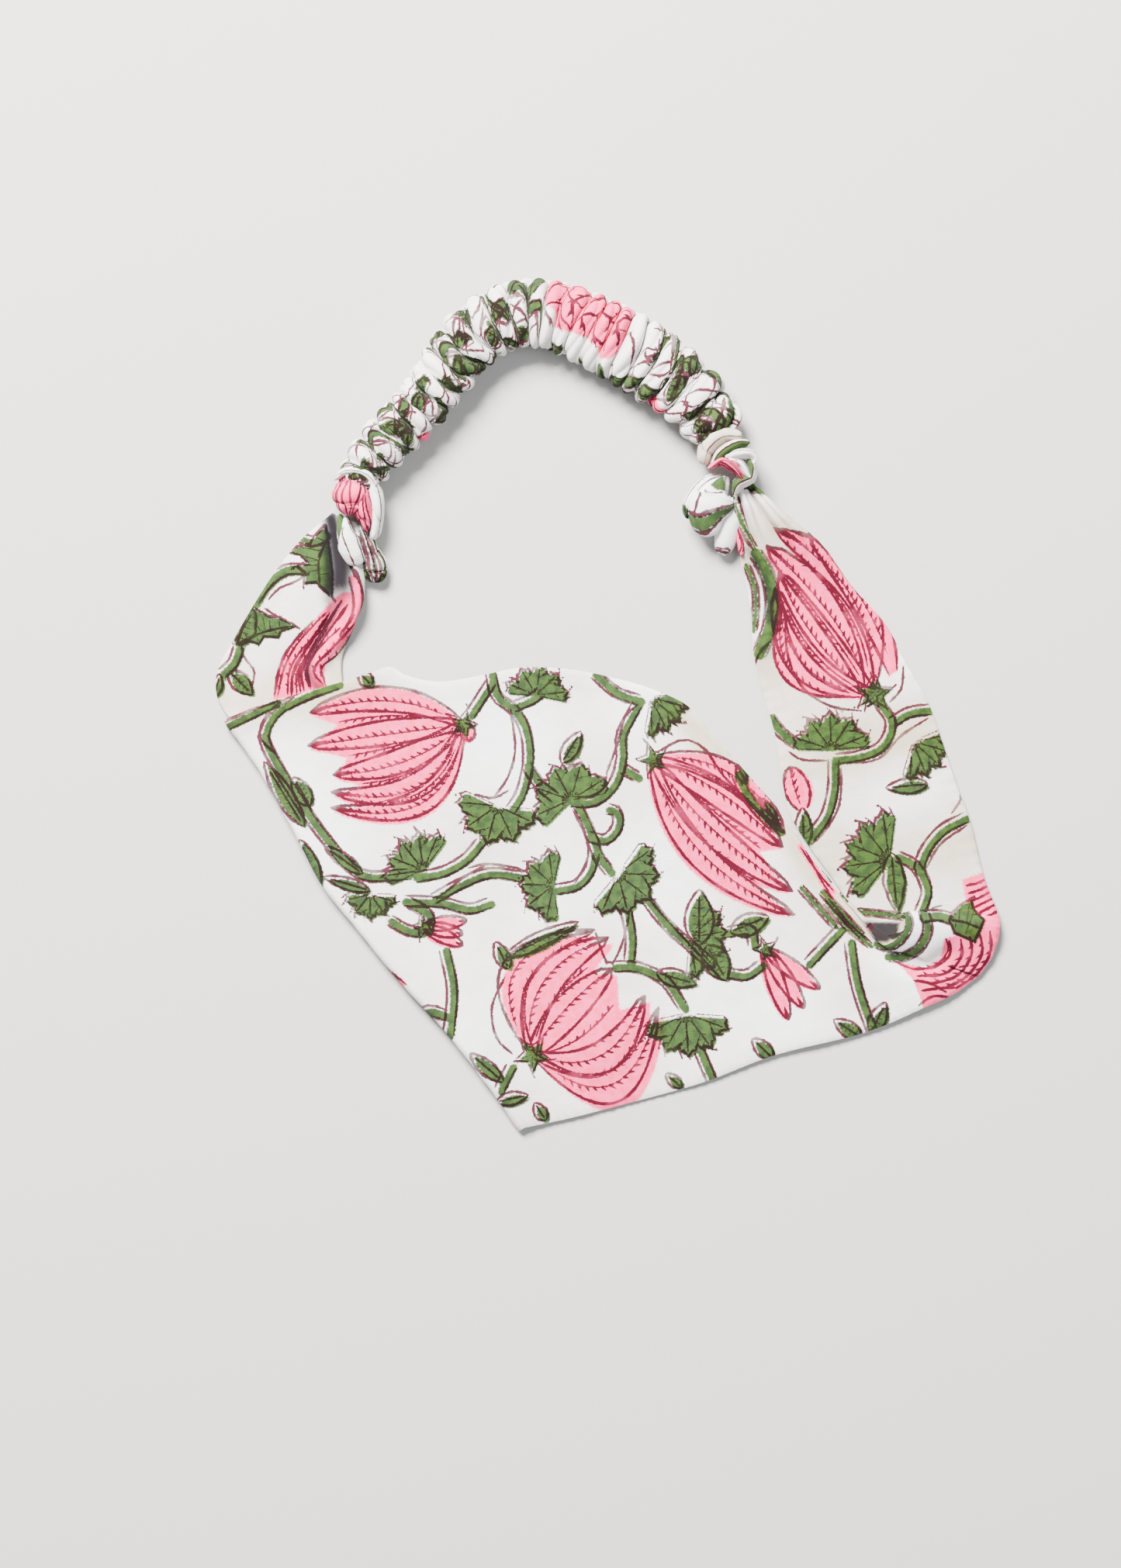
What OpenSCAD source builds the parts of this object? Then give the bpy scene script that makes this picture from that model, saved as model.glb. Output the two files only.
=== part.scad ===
// Knotted headband, lying flat as it is put down: a wide two-layer cotton band folded
// on itself at the lower left and rolled into a horn at the lower right, two knots with
// short tails, and a ruched casing with an elastic strap inside that closes the ring.
// +Z is up, +Y points from the wide front to the elastic back, z = 0 is the table.

/* [Cloth] */
// Thickness of one layer of the band's cotton
cloth_t = 0.4; // [0.3:0.05:0.5]
// Air between the two layers, where the seam threads lie
layer_gap = 0.3; // [0.2:0.05:0.4]

/* [Folds] */
// Outer radius of the fold at the lower left
fold_r = 2; // [1.8:0.1:2.6]
// Outer radius of the rolled horn at the lower right
horn_r = 4; // [3.5:0.25:5]
// Length of the rolled horn
horn_len = 31; // [27:0.5:31]

/* [Elastic back] */
// Height of the ruched casing over the table
casing_h = 11; // [10:0.5:12]
// Width of the casing beside the left knot
left_casing_w = 13; // [11.5:0.5:14]
// Width of the casing at the crown
crown_w = 18; // [15:0.5:19]
// Width of the casing beside the right knot
right_casing_w = 17; // [13:0.5:18]
// Thickness of the ruched cloth of the casing
casing_wall = 1; // [0.8:0.1:1.4]
// Width of the elastic strap
elastic_w = 8; // [6:0.5:9]
// Thickness of the elastic strap
elastic_t = 1.2; // [0.8:0.1:1.6]
// Clearance between pieces that move apart
joint_gap = 0.3; // [0.3:0.05:0.6]

/* [Knots] */
// Radius of a whole knot
knot_r = 6.5; // [6:0.1:6.5]
// Thickness of the cloth roll that wraps a knot
wrap_d = 5.6; // [5:0.2:6]
// Thickness of a knot's tail
tail_t = 3.8; // [3:0.1:4]
// Width of a tail at its free end
tail_w = 11; // [9:0.5:11]
// Length of a tail beyond its root
tail_len = 13; // [10:0.5:14]

/* [Seams] */
// Width of the row of seam thread along a hem
seam_w = 0.8; // [0.4:0.1:1]
// Distance of the seam thread from the cloth's edge
seam_inset = 0.4; // [0.3:0.1:0.8]

/* [Hidden] */
// Bar tacks: how far from the strap's end, and their size
tack_inset = 3;
tack_len = 1.2;
tack_t = 0.5;
tack_w = elastic_w - 1;
$fn = 48;

// Colours of the cloth, the thread and the elastic
cotton = [0.93, 0.92, 0.90];
lining_cotton = [0.90, 0.88, 0.85];
print_pink = [0.93, 0.52, 0.60];
print_green = [0.38, 0.52, 0.24];
thread = [0.97, 0.97, 0.95];
elastic_white = [0.86, 0.86, 0.84];

// Heights of the layers: the two lower ones lie on the table, the two upper ones
// form the front that is folded over them
stack = 2 * cloth_t + layer_gap;
top_z = 2 * fold_r;
upper_z = top_z - stack;

// The diagonal fold at the lower left, from the inner hem to the outer hem
fold_top = [-98, -4];
fold_foot = [-22, -109.6];
fold_len = norm(fold_foot - fold_top);
fold_turn = atan2(fold_foot.y - fold_top.y, fold_foot.x - fold_top.x);

// The horn's axis runs level from the mouth to the right corner
horn_y = -58.5;
mouth_x = 70;
corner_x = mouth_x + horn_len;

// Centres of the two knots, which are also the ends of the hinge line of the back
left_knot_at = [-65, 51];
right_knot_at = [31, 61];
left_neck_dir = [-0.42, -0.91];
right_neck_dir = [0.56, -0.83];
left_tail_dir = [0.46, -0.89];
right_tail_dir = [-0.38, -0.93];
neck_r = 3.2;
neck_end = 5.5;
gather_len = 14;
tail_root_w = 6;
// Roots of the tails clear the knots at every angle
tail_root = knot_r + joint_gap + tail_t / 2;

// A cubic curve through its first and last control points
bend_steps = 14;
function bend(a, b, c, d) =
    [for (i = [0 : bend_steps]) let (t = i / bend_steps, s = 1 - t)
        s * s * s * a + 3 * s * s * t * b + 3 * s * t * t * c + t * t * t * d];
function reversed(p) = [for (i = [len(p) - 1 : -1 : 0]) p[i]];
// Two curves in a row, their shared point counted once
function joined(p, q) = concat(p, [for (i = [1 : len(q) - 1]) q[i]]);
// A hem without its last stretch, which is gathered into the neck
function short_of_neck(p) = [for (i = [0 : len(p) - 3]) p[i]];
// A curve moved sideways by d, to the left of its direction
function beside(p, d) =
    [for (i = [0 : len(p) - 1])
        let (a = p[max(i - 1, 0)], b = p[min(i + 1, len(p) - 1)], u = (b - a) / norm(b - a))
            p[i] + d * [-u.y, u.x]];

// Hems of the limb that lies under the front at the left
left_inner_hem = bend([-73, 50], [-92, 25], [-106, 8], fold_top);
left_outer_hem = concat(bend([-63, 42], [-58, 30], [-70, 22], [-68, 8]), [fold_foot]);
// Hems of the front
front_inner_hem = joined(bend(fold_top, [-78, 6], [-50, 10], [-22, 9.6]),
                         bend([-22, 9.6], [20, 9], [36, -18], [mouth_x, horn_y - 2]));
front_outer_hem = bend(fold_foot, [20, -99], [60, -88], [84, -77]);
lower_corner = bend([84, -77], [93, -73], [99, -68], [corner_x, horn_y - horn_r]);
front_edge = joined(front_outer_hem, lower_corner);
// Hems of the limb at the right
right_inner_hem = bend([66, horn_y + horn_r], [48, -34], [42, -8], [33, 52]);
right_outer_hem = bend([corner_x, horn_y + horn_r], [95, -20], [88, 14], [42, 52]);

// Circle through three points, for the arcs of the elastic back
function arc_centre(a, b, c) =
    let (d = 2 * (a.x * (b.y - c.y) + b.x * (c.y - a.y) + c.x * (a.y - b.y)),
         x = (a * a) * (b.y - c.y) + (b * b) * (c.y - a.y) + (c * c) * (a.y - b.y),
         y = (a * a) * (c.x - b.x) + (b * b) * (a.x - c.x) + (c * c) * (b.x - a.x))
        [x / d, y / d];
crown_arc = [[-40, 87], [-16, 100], [25, 77]];
crown_mid = arc_centre(crown_arc[0], crown_arc[1], crown_arc[2]);
// A flank leaves the crown's end p without a kink, bends by turn degrees on a radius r,
// negative where it curls away from the hole, and ends at its knot
function flank_arc(p, r, turn) =
    let (mid = p + r * (crown_mid - p) / norm(crown_mid - p), v = p - mid)
        [for (a = [turn, turn / 2, 0]) mid + [v.x * cos(a) - v.y * sin(a), v.x * sin(a) + v.y * cos(a)]];
left_arc = flank_arc(crown_arc[0], 360, 5.7);
right_arc = flank_arc(crown_arc[2], -50, 10.5);

// Plan size of the whole headband, which sets the origin at the middle of its box
far_y = crown_mid.y + norm(crown_arc[1] - crown_mid) + crown_w / 2;
low_x = min([for (p = left_inner_hem) p.x]);
high_x = max([for (p = concat(right_outer_hem, lower_corner)) p.x]);
middle = [(low_x + high_x) / 2, (far_y + fold_foot.y) / 2, 0];

// Moves the layout so that the origin is under the middle of the box
module laid() {
    translate(-middle) children();
}

// Turns +X of a piece onto a plan direction, at a point
module along(at, dir, z) {
    translate([at.x, at.y, z]) rotate([0, 0, atan2(dir.y, dir.x)]) children();
}

// Everything on the inner side of the fold's bend
module inside_fold() {
    translate([fold_top.x, fold_top.y, -1])
        rotate([0, 0, fold_turn])
            translate([-60, fold_r, 0]) cube([260, 260, 40]);
}

// One cloth layer at height z with a plan outline
module layer(z, outline, t = cloth_t) {
    translate([0, 0, z]) linear_extrude(t) polygon(outline);
}

// Half a tube wall along the fold, r being its outer radius
module fold_bend(r) {
    translate([fold_top.x, fold_top.y, 0]) rotate([0, 0, fold_turn]) rotate([90, 0, 90])
        linear_extrude(fold_len) translate([fold_r, fold_r]) intersection() {
            difference() {
                circle(r);
                circle(r - cloth_t);
            }
            translate([-fold_r - 1, -fold_r - 1]) square([fold_r + 1, 2 * fold_r + 2]);
        }
}

// The rolled horn: an arch that rises from the front and comes down to the limb
module horn(r, front_z, limb_z) {
    translate([mouth_x, horn_y, 0]) rotate([90, 0, 90]) linear_extrude(horn_len) {
        translate([0, top_z]) intersection() {
            difference() {
                circle(r);
                circle(r - cloth_t);
            }
            translate([-r, 0]) square([2 * r, r]);
        }
        translate([-r, front_z]) square([cloth_t, top_z - front_z]);
        translate([r - cloth_t, limb_z]) square([cloth_t, top_z - limb_z]);
    }
}

// Outlines of the limbs and of the front, the edge being where they meet the horn
function left_outline() = concat(left_inner_hem, reversed(left_outer_hem));
function front_outline(edge) =
    concat(front_inner_hem, [[mouth_x, edge], [corner_x, edge]],
           [for (p = reversed(front_edge)) if (p != fold_foot) p], [fold_foot]);
function right_outline(edge) =
    concat([[right_inner_hem[0].x, edge], [corner_x, edge]],
           [for (p = right_outer_hem) if (p.y > edge + 0.1) p],
           [for (p = reversed(right_inner_hem)) if (p.y > edge + 0.1) p]);

// One whole layer of the band: r is its radius in the fold and drop its depth in the
// stack of the front, counted from the top
module band_layer(depth) {
    r = fold_r - depth;
    hr = horn_r - depth;
    intersection() {
        union() {
            layer(depth, left_outline());
            layer(top_z - depth - cloth_t, front_outline(horn_y - hr + cloth_t));
        }
        inside_fold();
    }
    fold_bend(r);
    horn(hr, top_z - depth - cloth_t, stack - depth - cloth_t);
    layer(stack - depth - cloth_t, right_outline(horn_y + hr - cloth_t));
}

// The gathered neck where the band is drawn into a knot
module gathered_neck(at, dir) {
    along(at, dir, 0) hull() {
        translate([neck_end, 0, knot_r]) rotate([0, 90, 0]) cylinder(h = 1, r = neck_r, $fn = 32);
        translate([neck_end + gather_len, -5, 0]) cube([1, 10, stack]);
    }
}

// Cloth wrapped round a straight core, with the neck on one side of it
module knot(at, dir) {
    along(at, dir, knot_r) rotate([0, 90, 0]) {
        cylinder(h = 2 * neck_end, r = neck_r, center = true);
        rotate_extrude() translate([knot_r - wrap_d / 2, 0]) circle(d = wrap_d);
    }
}

// A tail: a flat roll with a round root, wider at its free end
module tail(at, dir, z) {
    along(at, dir, z) translate([tail_root, 0, 0]) intersection() {
        rotate([90, 0, 0]) linear_extrude(tail_w, center = true) {
            circle(d = tail_t);
            translate([0, -tail_t / 2]) square([tail_len - tail_t / 2, tail_t]);
            translate([tail_len - tail_t / 2, 0]) circle(d = tail_t);
        }
        translate([0, 0, -tail_t]) linear_extrude(2 * tail_t)
            polygon([[-tail_t, -tail_root_w / 2], [tail_len * 0.55, -tail_w / 2],
                     [tail_len + 1, -tail_w * 0.4], [tail_len + 1, tail_w * 0.4],
                     [tail_len * 0.55, tail_w / 2], [-tail_t, tail_root_w / 2]]);
    }
}

// Flat strip with round edges, seen end on
module strip_section(w, h) {
    square([w - h, h], center = true);
    for (side = [-1, 1]) translate([side * (w - h) / 2, 0]) circle(d = h);
}

// Carries a section along the arc through three plan points, short of its ends by trim
module swept(arc, z, trim) {
    mid = arc_centre(arc[0], arc[1], arc[2]);
    r = norm(arc[0] - mid);
    cut = trim / r * 180 / PI;
    from = atan2(arc[2].y - mid.y, arc[2].x - mid.x);
    to = atan2(arc[0].y - mid.y, arc[0].x - mid.x);
    sweep = (to - from + 360) % 360;
    translate([mid.x, mid.y, z]) rotate([0, 0, from + cut])
        rotate_extrude(angle = sweep - 2 * cut) translate([r, 0]) children();
}

// Ruched cloth tube along an arc
module casing(arc, w) {
    swept(arc, casing_h / 2, joint_gap / 2) difference() {
        strip_section(w, casing_h);
        strip_section(w - 2 * casing_wall, casing_h - 2 * casing_wall);
    }
}

// Elastic strap along an arc, in the middle of its casing
module strap(arc) {
    swept(arc, casing_h / 2, joint_gap / 2) square([elastic_w, elastic_t], center = true);
}

// Dense stitches across the strap, a little way in from the end at its knot
module bar_tack(arc) {
    mid = arc_centre(arc[0], arc[1], arc[2]);
    r = norm(arc[0] - mid);
    along(mid, arc[0] - mid, casing_h / 2 + elastic_t / 2)
        rotate([0, 0, -tack_inset / r * 180 / PI])
            translate([r - tack_w / 2, 0, 0]) cube([tack_w, tack_len, tack_t]);
}

// A row of seam thread beside a hem, between the two layers; side is +1 where the
// cloth lies to the left of the hem's direction
module seam_row(hem, side, z) {
    layer(z, concat(beside(hem, side * seam_inset),
                    reversed(beside(hem, side * (seam_inset + seam_w)))), layer_gap);
}

// Printed cotton on the outside of the folded band
module front_band_face() {
    color(cotton) laid() {
        band_layer(0);
        gathered_neck(left_knot_at, left_neck_dir);
        gathered_neck(right_knot_at, right_neck_dir);
    }
}

// Printed cotton on the inside of the fold
module front_band_lining() {
    color(lining_cotton) laid() difference() {
        band_layer(cloth_t + layer_gap);
        gathered_neck(left_knot_at, left_neck_dir);
        gathered_neck(right_knot_at, right_neck_dir);
    }
}

// Seam thread along the hem that faces the hole of the ring
module inner_hem_seam() {
    color(thread) laid() intersection() {
        union() {
            seam_row(left_inner_hem, 1, cloth_t);
            seam_row(front_inner_hem, -1, top_z - cloth_t - layer_gap);
            seam_row(short_of_neck(right_inner_hem), -1, cloth_t);
        }
        inside_fold();
    }
}

// Seam thread along the hem on the outside of the ring
module outer_hem_seam() {
    color(thread) laid() intersection() {
        union() {
            seam_row(left_outer_hem, -1, cloth_t);
            seam_row(front_outer_hem, 1, top_z - cloth_t - layer_gap);
            seam_row(short_of_neck(right_outer_hem), 1, cloth_t);
        }
        inside_fold();
    }
}

// Knot that ties the left end of the band to the casing
module left_knot() {
    color(print_pink) laid() knot(left_knot_at, left_neck_dir);
}

// Knot that ties the right end of the band to the casing
module right_knot() {
    color(cotton) laid() knot(right_knot_at, right_neck_dir);
}

// Free end of the left knot, which lies on the band
module left_knot_tail() {
    color(print_green) laid() tail(left_knot_at, left_tail_dir, stack + joint_gap + tail_t / 2);
}

// Free end of the right knot, which lies on the table
module right_knot_tail() {
    color(print_green) laid() tail(right_knot_at, right_tail_dir, tail_t / 2);
}

// Casing from the left knot to the crown
module casing_left_flank() {
    color(cotton) laid() casing(left_arc, left_casing_w);
}

// Crown of the casing, furthest from the wide front
module casing_crown() {
    color(print_pink) laid() casing(crown_arc, crown_w);
}

// Casing from the crown to the right knot
module casing_right_flank() {
    color(cotton) laid() casing(right_arc, right_casing_w);
}

// Elastic strap inside the left flank
module elastic_left_end() {
    color(elastic_white) laid() strap(left_arc);
}

// Elastic strap inside the crown
module elastic_crown() {
    color(elastic_white) laid() strap(crown_arc);
}

// Elastic strap inside the right flank
module elastic_right_end() {
    color(elastic_white) laid() strap(right_arc);
}

// Stitches that hold the left end of the elastic
module left_bar_tack() {
    color(thread) laid() bar_tack(left_arc);
}

// Stitches that hold the right end of the elastic
module right_bar_tack() {
    color(thread) laid() bar_tack(right_arc);
}

front_band_face();
front_band_lining();
inner_hem_seam();
outer_hem_seam();
left_knot();
right_knot();
left_knot_tail();
right_knot_tail();
casing_left_flank();
casing_crown();
casing_right_flank();
elastic_left_end();
elastic_crown();
elastic_right_end();
left_bar_tack();
right_bar_tack();
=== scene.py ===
import bpy
import numpy as np
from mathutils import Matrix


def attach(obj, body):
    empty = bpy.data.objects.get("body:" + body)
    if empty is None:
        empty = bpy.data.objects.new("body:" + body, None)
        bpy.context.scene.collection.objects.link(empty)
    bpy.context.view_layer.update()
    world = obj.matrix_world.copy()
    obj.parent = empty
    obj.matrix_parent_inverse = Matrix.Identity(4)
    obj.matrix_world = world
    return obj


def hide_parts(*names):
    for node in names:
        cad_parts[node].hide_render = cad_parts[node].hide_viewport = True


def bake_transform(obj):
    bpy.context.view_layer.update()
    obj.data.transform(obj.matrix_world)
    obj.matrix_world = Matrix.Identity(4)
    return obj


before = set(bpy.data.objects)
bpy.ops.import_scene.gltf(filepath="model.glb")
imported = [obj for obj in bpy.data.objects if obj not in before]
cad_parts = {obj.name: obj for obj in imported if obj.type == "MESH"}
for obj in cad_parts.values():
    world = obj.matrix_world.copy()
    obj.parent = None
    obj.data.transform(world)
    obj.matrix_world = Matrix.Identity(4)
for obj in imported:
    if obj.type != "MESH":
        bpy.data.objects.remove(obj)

bl_info = {
    "name": "Knotted headband",
    "version": (1, 0, 0),
    "blender": (4, 5, 0),
    "location": "View3D > Sidebar > Headband",
    "description": "A printed cotton headband, folded and knotted to a ruched elastic back",
    "category": "Add Mesh",
}

# Every plan point in this file is in millimetres on the layout that the pattern cutter
# draws. LAYOUT_MIDDLE is the point of it that lies over the model's origin.
MM = 0.001
LAYOUT_MIDDLE = np.array([0.3602, -0.1156, 0.0])
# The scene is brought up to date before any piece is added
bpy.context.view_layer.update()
# Depth that stands for no dye and no ink anywhere near
FAR = 9.0

# ---------------------------------------------------------------- plan of the band

# Hems of the limb at the left, from its knot down to the fold
LEFT_INNER = [(-70.5, 49.5), (-79, 42), (-85, 34.5), (-91.5, 24.5), (-97, 15.2), (-100.6, 8.5),
              (-100.6, 1.8), (-97.6, -3.2)]
LEFT_OUTER = [(-62.5, 46), (-62, 36), (-62.3, 27), (-64.5, 20.5), (-68, 12), (-67, 2), (-58, -25),
              (-40, -68), (-22, -108.6)]
# The fold, from the inner hem to the outer hem
FOLD = [(-98, -4), (-88.4, -17.8), (-79.2, -34.2), (-72.6, -46.6), (-65, -56.2), (-52.4, -71.6),
        (-40.2, -85), (-28, -101), (-22, -109.6)]
FOLD_OUT = np.array([-0.812, -0.584])
# Hems of the front, from the fold to the horn
FRONT_INNER = [(-97.6, -3.2), (-88, 0.6), (-79, 3), (-68, 6), (-60, 8.6), (-55.6, 9.8), (-51.5, 7.6),
               (-43, 6), (-33, 7.4), (-22, 9.6), (-8, 9), (3, 6.7), (11, 4.4), (21, -0.2), (26, -6),
               (31, -11.5), (37.5, -19), (47, -30), (50.5, -36), (59, -47.5), (65, -54.5),
               (68.5, -59.5), (71.2, -61.9)]
FRONT_OUTER = [(-22, -108.6), (-7, -105.6), (24, -97.6), (43, -90.4), (68, -84), (81, -78.4),
               (89.5, -74.5), (95.8, -70)]
# The horn: where the inner hem climbs over the roll and dives under it, and the outer
# hem beside it, each as x, y, height
HORN_INNER = [(71.2, -61.9, 4.6), (74, -60.6, 6.2), (76.2, -57.6, 7.4), (76.6, -54.9, 7.2),
              (76.8, -53.4, 4.6), (76.2, -54.2, 1.9), (74.5, -57.5, 1.1), (70.5, -60.2, 0.95),
              (66, -57, 0.95)]
HORN_OUTER = [(95.8, -70, 1.4), (99, -65.5, 1.9), (100.8, -60.5, 2.6), (101.2, -57, 3.0),
              (101, -55, 2.8), (100.5, -52.8, 2.2), (99.9, -51.2, 1.7), (99.5, -50, 1.3),
              (99, -48.8, 1.1)]
# Hems of the limb at the right, from the horn to its knot
RIGHT_INNER = [(66, -57), (60, -47), (50, -33), (47, -27), (43.4, -7), (40.4, 3.4), (38, 13.2),
               (37.4, 24), (35.2, 34), (34, 41), (33, 49), (32, 57)]
RIGHT_OUTER = [(99, -48.8), (97.2, -44), (93.4, -29), (90.4, -21), (86.2, -8.2), (82.8, 1),
               (77.6, 10.2), (72, 20.8), (63, 31), (55.6, 41.2), (47.6, 47.8), (37, 57.5)]

# Creases: the pleat beside the left knot and the rolled rim next to it, the hollow in
# front of the horn, and the gathers that run out of the right knot
PLEAT = [(-70.8, 48), (-68.8, 40), (-68.4, 32), (-70, 24), (-74.6, 15.4), (-77, 9.5), (-75.6, 6),
         (-71, 2)]
RIM = [(-66.5, 43), (-65, 34), (-63.6, 28), (-64.6, 22), (-70, 15.5), (-74.6, 9), (-73.4, 5.5),
       (-70, 3.5)]
HORN_VALLEY = [(62, -57.5), (70, -63.6), (76, -66.9), (82, -67.6), (87.5, -64)]
SIDE_FOLD = [(34, 50), (36.5, 41), (40.4, 33), (42.6, 25), (42, 17), (39, 11)]

# Leaf that the horn's turn cuts through, so that both of its sides carry it: its outline,
# the ends of its vein and its stalk
HORN_LEAF = [(88, -55.6), (89.4, -53.4), (91.4, -51.4), (94, -50), (94.8, -53), (97, -55.4),
             (95.8, -58.4), (94.6, -60.8), (91.8, -59.6), (89.4, -58.6)]
HORN_VEIN = ((88.4, -55.4), (95.8, -57.4))
HORN_STALK = [(80.6, -54.6), (85, -54.2), (89.4, -55.4)]

# The hollow that shows inside the horn, where near black shade is painted on the low cloth
HORN_MOUTH = [(65.6, -55.4), (76, -55.8), (75.4, -59), (72.4, -61.4), (69.2, -61.2)]

# Number of rows along each stretch of the band, and of columns across it
LEFT_ROWS, FOLD_ROWS, FRONT_ROWS, HORN_ROWS, RIGHT_ROWS = 104, 14, 300, 64, 176
COLUMNS = 144

# Seam allowance: how far the layers stand off the middle surface, how much more inside a
# hem, and how high the hem puckers
LAYER_GAP, HEM_GAP, PUCKER = 0.25, 0.12, 0.11
# Sewing: stitch length, how far the thread runs inside the hem, its radius and its sides
STITCH, HEM_INSET, THREAD_RADIUS, THREAD_SIDES = 2.4, 0.8, 0.11, 6


def smoothstep(x, low, high):
    """0 below low, 1 above high, and an S-shaped rise between."""
    t = np.clip((x - low) / (high - low), 0, 1)
    return t * t * (3 - 2 * t)


def hermite(points, places):
    """Cubic curve through points, read at places counted in points: each point's slope is
    half the step from the one before it to the one after it."""
    points = np.asarray(points, float)
    slope = np.gradient(points, axis=0)
    i = np.clip(places.astype(int), 0, len(points) - 2)
    t = (places - i)[:, None]
    return ((2 * t**3 - 3 * t**2 + 1) * points[i] + (t**3 - 2 * t**2 + t) * slope[i]
            + (3 * t**2 - 2 * t**3) * points[i + 1] + (t**3 - t**2) * slope[i + 1])


def curve(points, count):
    """Smooth curve through points, read at count places that are equally far apart."""
    points = np.asarray(points, float)
    step = np.sqrt(np.linalg.norm(np.diff(points, axis=0), axis=1))
    knot = np.concatenate([[0], np.cumsum(step)])
    chord = np.diff(points, axis=0) / step[:, None]
    slope = np.concatenate([chord[:1], chord[-1:]]) if len(points) < 3 else np.concatenate([
        chord[:1], (chord[:-1] * step[1:, None] + chord[1:] * step[:-1, None])
        / (step[1:] + step[:-1])[:, None], chord[-1:]])
    fine = np.linspace(0, knot[-1], 16 * len(points))
    i = np.clip(np.searchsorted(knot, fine, side="right") - 1, 0, len(step) - 1)
    t = ((fine - knot[i]) / step[i])[:, None]
    h = step[i][:, None]
    dense = ((2 * t**3 - 3 * t**2 + 1) * points[i] + (t**3 - 2 * t**2 + t) * h * slope[i]
             + (3 * t**2 - 2 * t**3) * points[i + 1] + (t**3 - t**2) * h * slope[i + 1])
    run = np.concatenate([[0], np.cumsum(np.linalg.norm(np.diff(dense, axis=0), axis=1))])
    at = np.linspace(0, run[-1], count)
    return np.stack([np.interp(at, run, dense[:, k]) for k in range(points.shape[1])], axis=1)


def beside(path, offset):
    """A plan path moved to its left by offset."""
    along = np.gradient(path, axis=0)
    along /= np.linalg.norm(along, axis=1)[:, None] + 1e-9
    return path + offset * np.stack([-along[:, 1], along[:, 0]], axis=1)


def from_path(x, y, path, count=60):
    """Distance of each plan point from a smooth path."""
    shape = np.shape(x)
    spots = np.stack([np.ravel(x), np.ravel(y)], axis=1)
    line = curve(path, count)
    best = np.full(len(spots), 1e9)
    for a, b in zip(line[:-1], line[1:]):
        ab = b - a
        t = np.clip(((spots - a) @ ab) / (ab @ ab + 1e-12), 0, 1)
        best = np.minimum(best, np.linalg.norm(spots - a - t[:, None] * ab, axis=1))
    return best.reshape(shape)


def ripples(x, y, length, seed):
    """Soft bumps, mostly between -1 and 1: a sum of waves of about one length, each with a
    direction and a phase of its own."""
    waves, gain = 7, 1.8
    draw = np.random.RandomState(seed)
    total = np.zeros(np.broadcast(x, y).shape)
    for _ in range(waves):
        turn, phase = draw.uniform(0, np.pi * 2), draw.uniform(0, np.pi * 2)
        stretch = draw.uniform(0.7, 1.4)
        total += np.cos((x * np.cos(turn) + y * np.sin(turn)) * 2 * np.pi / (length * stretch) + phase)
    return total / waves * gain


# ---------------------------------------------------------------- heights of the cloth

def left_height(x, y, v):
    """Height of the left limb: low beside the fold, rising to the knot, cut by the pleat
    and raised along the rolled rim."""
    base = 0.75 + 3.0 * smoothstep(y, 6, 46) * (0.3 + 0.7 * smoothstep(v, 0.0, 0.35))
    base += 0.35 * ripples(x, y, 26, 3) * smoothstep(y, 0, 12)
    in_sight = smoothstep(y, -6, 4)
    rim = np.exp(-(from_path(x, y, RIM) / 1.7) ** 2)
    base += (1.3 + 2.2 * smoothstep(y, 4, 30)) * rim * in_sight
    width = 1.5 + 1.9 * smoothstep(y, 22, 31) - 1.2 * smoothstep(y, 40, 48)
    pleat = np.exp(-(from_path(x, y, PLEAT) / width) ** 4)
    base = base * (1 - 0.86 * pleat * in_sight)
    return np.maximum(base, 0.6)


def front_height(x, y):
    """Height of the front: it lies on the left limb, comes down to the table to the right
    of that limb, and rides up on the right limb near the horn."""
    side = ((x + 67) * 114 + (y - 5) * 45) / np.hypot(114, 45)
    height = 1.2 + 2.6 * smoothstep(-side, -10, 9)
    over_right = from_path(x, y, [(47, -30), (59, -47), (68, -60), (80, -64), (98, -58)])
    height += 1.6 * (1 - smoothstep(over_right, 4, 22)) * smoothstep(x, 30, 55)
    height += 0.55 * ripples(x, y, 60, 5) + 0.22 * ripples(x, y, 24, 8)
    return np.maximum(height, 0.75)


def right_height(x, y, v):
    """Height of the right limb: flat on the table, with long gathers that run into the
    right knot and a raised edge along the side fold."""
    near_knot = smoothstep(y, 18, 54)
    height = 0.95 + 4.6 * near_knot ** 1.6
    height += 0.35 * ripples(x, y, 34, 12) * smoothstep(y, -44, -30)
    height += (0.9 * np.cos(v * 2 * np.pi * 2.3 + 0.6) + 0.5 * np.cos(v * 2 * np.pi * 5.1 + 2.0)) * near_knot
    side = from_path(x, y, SIDE_FOLD)
    height += (1.5 * np.exp(-(side / 2.2) ** 2)) * smoothstep(y, 6, 20)
    return np.maximum(height, 0.6)


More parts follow.
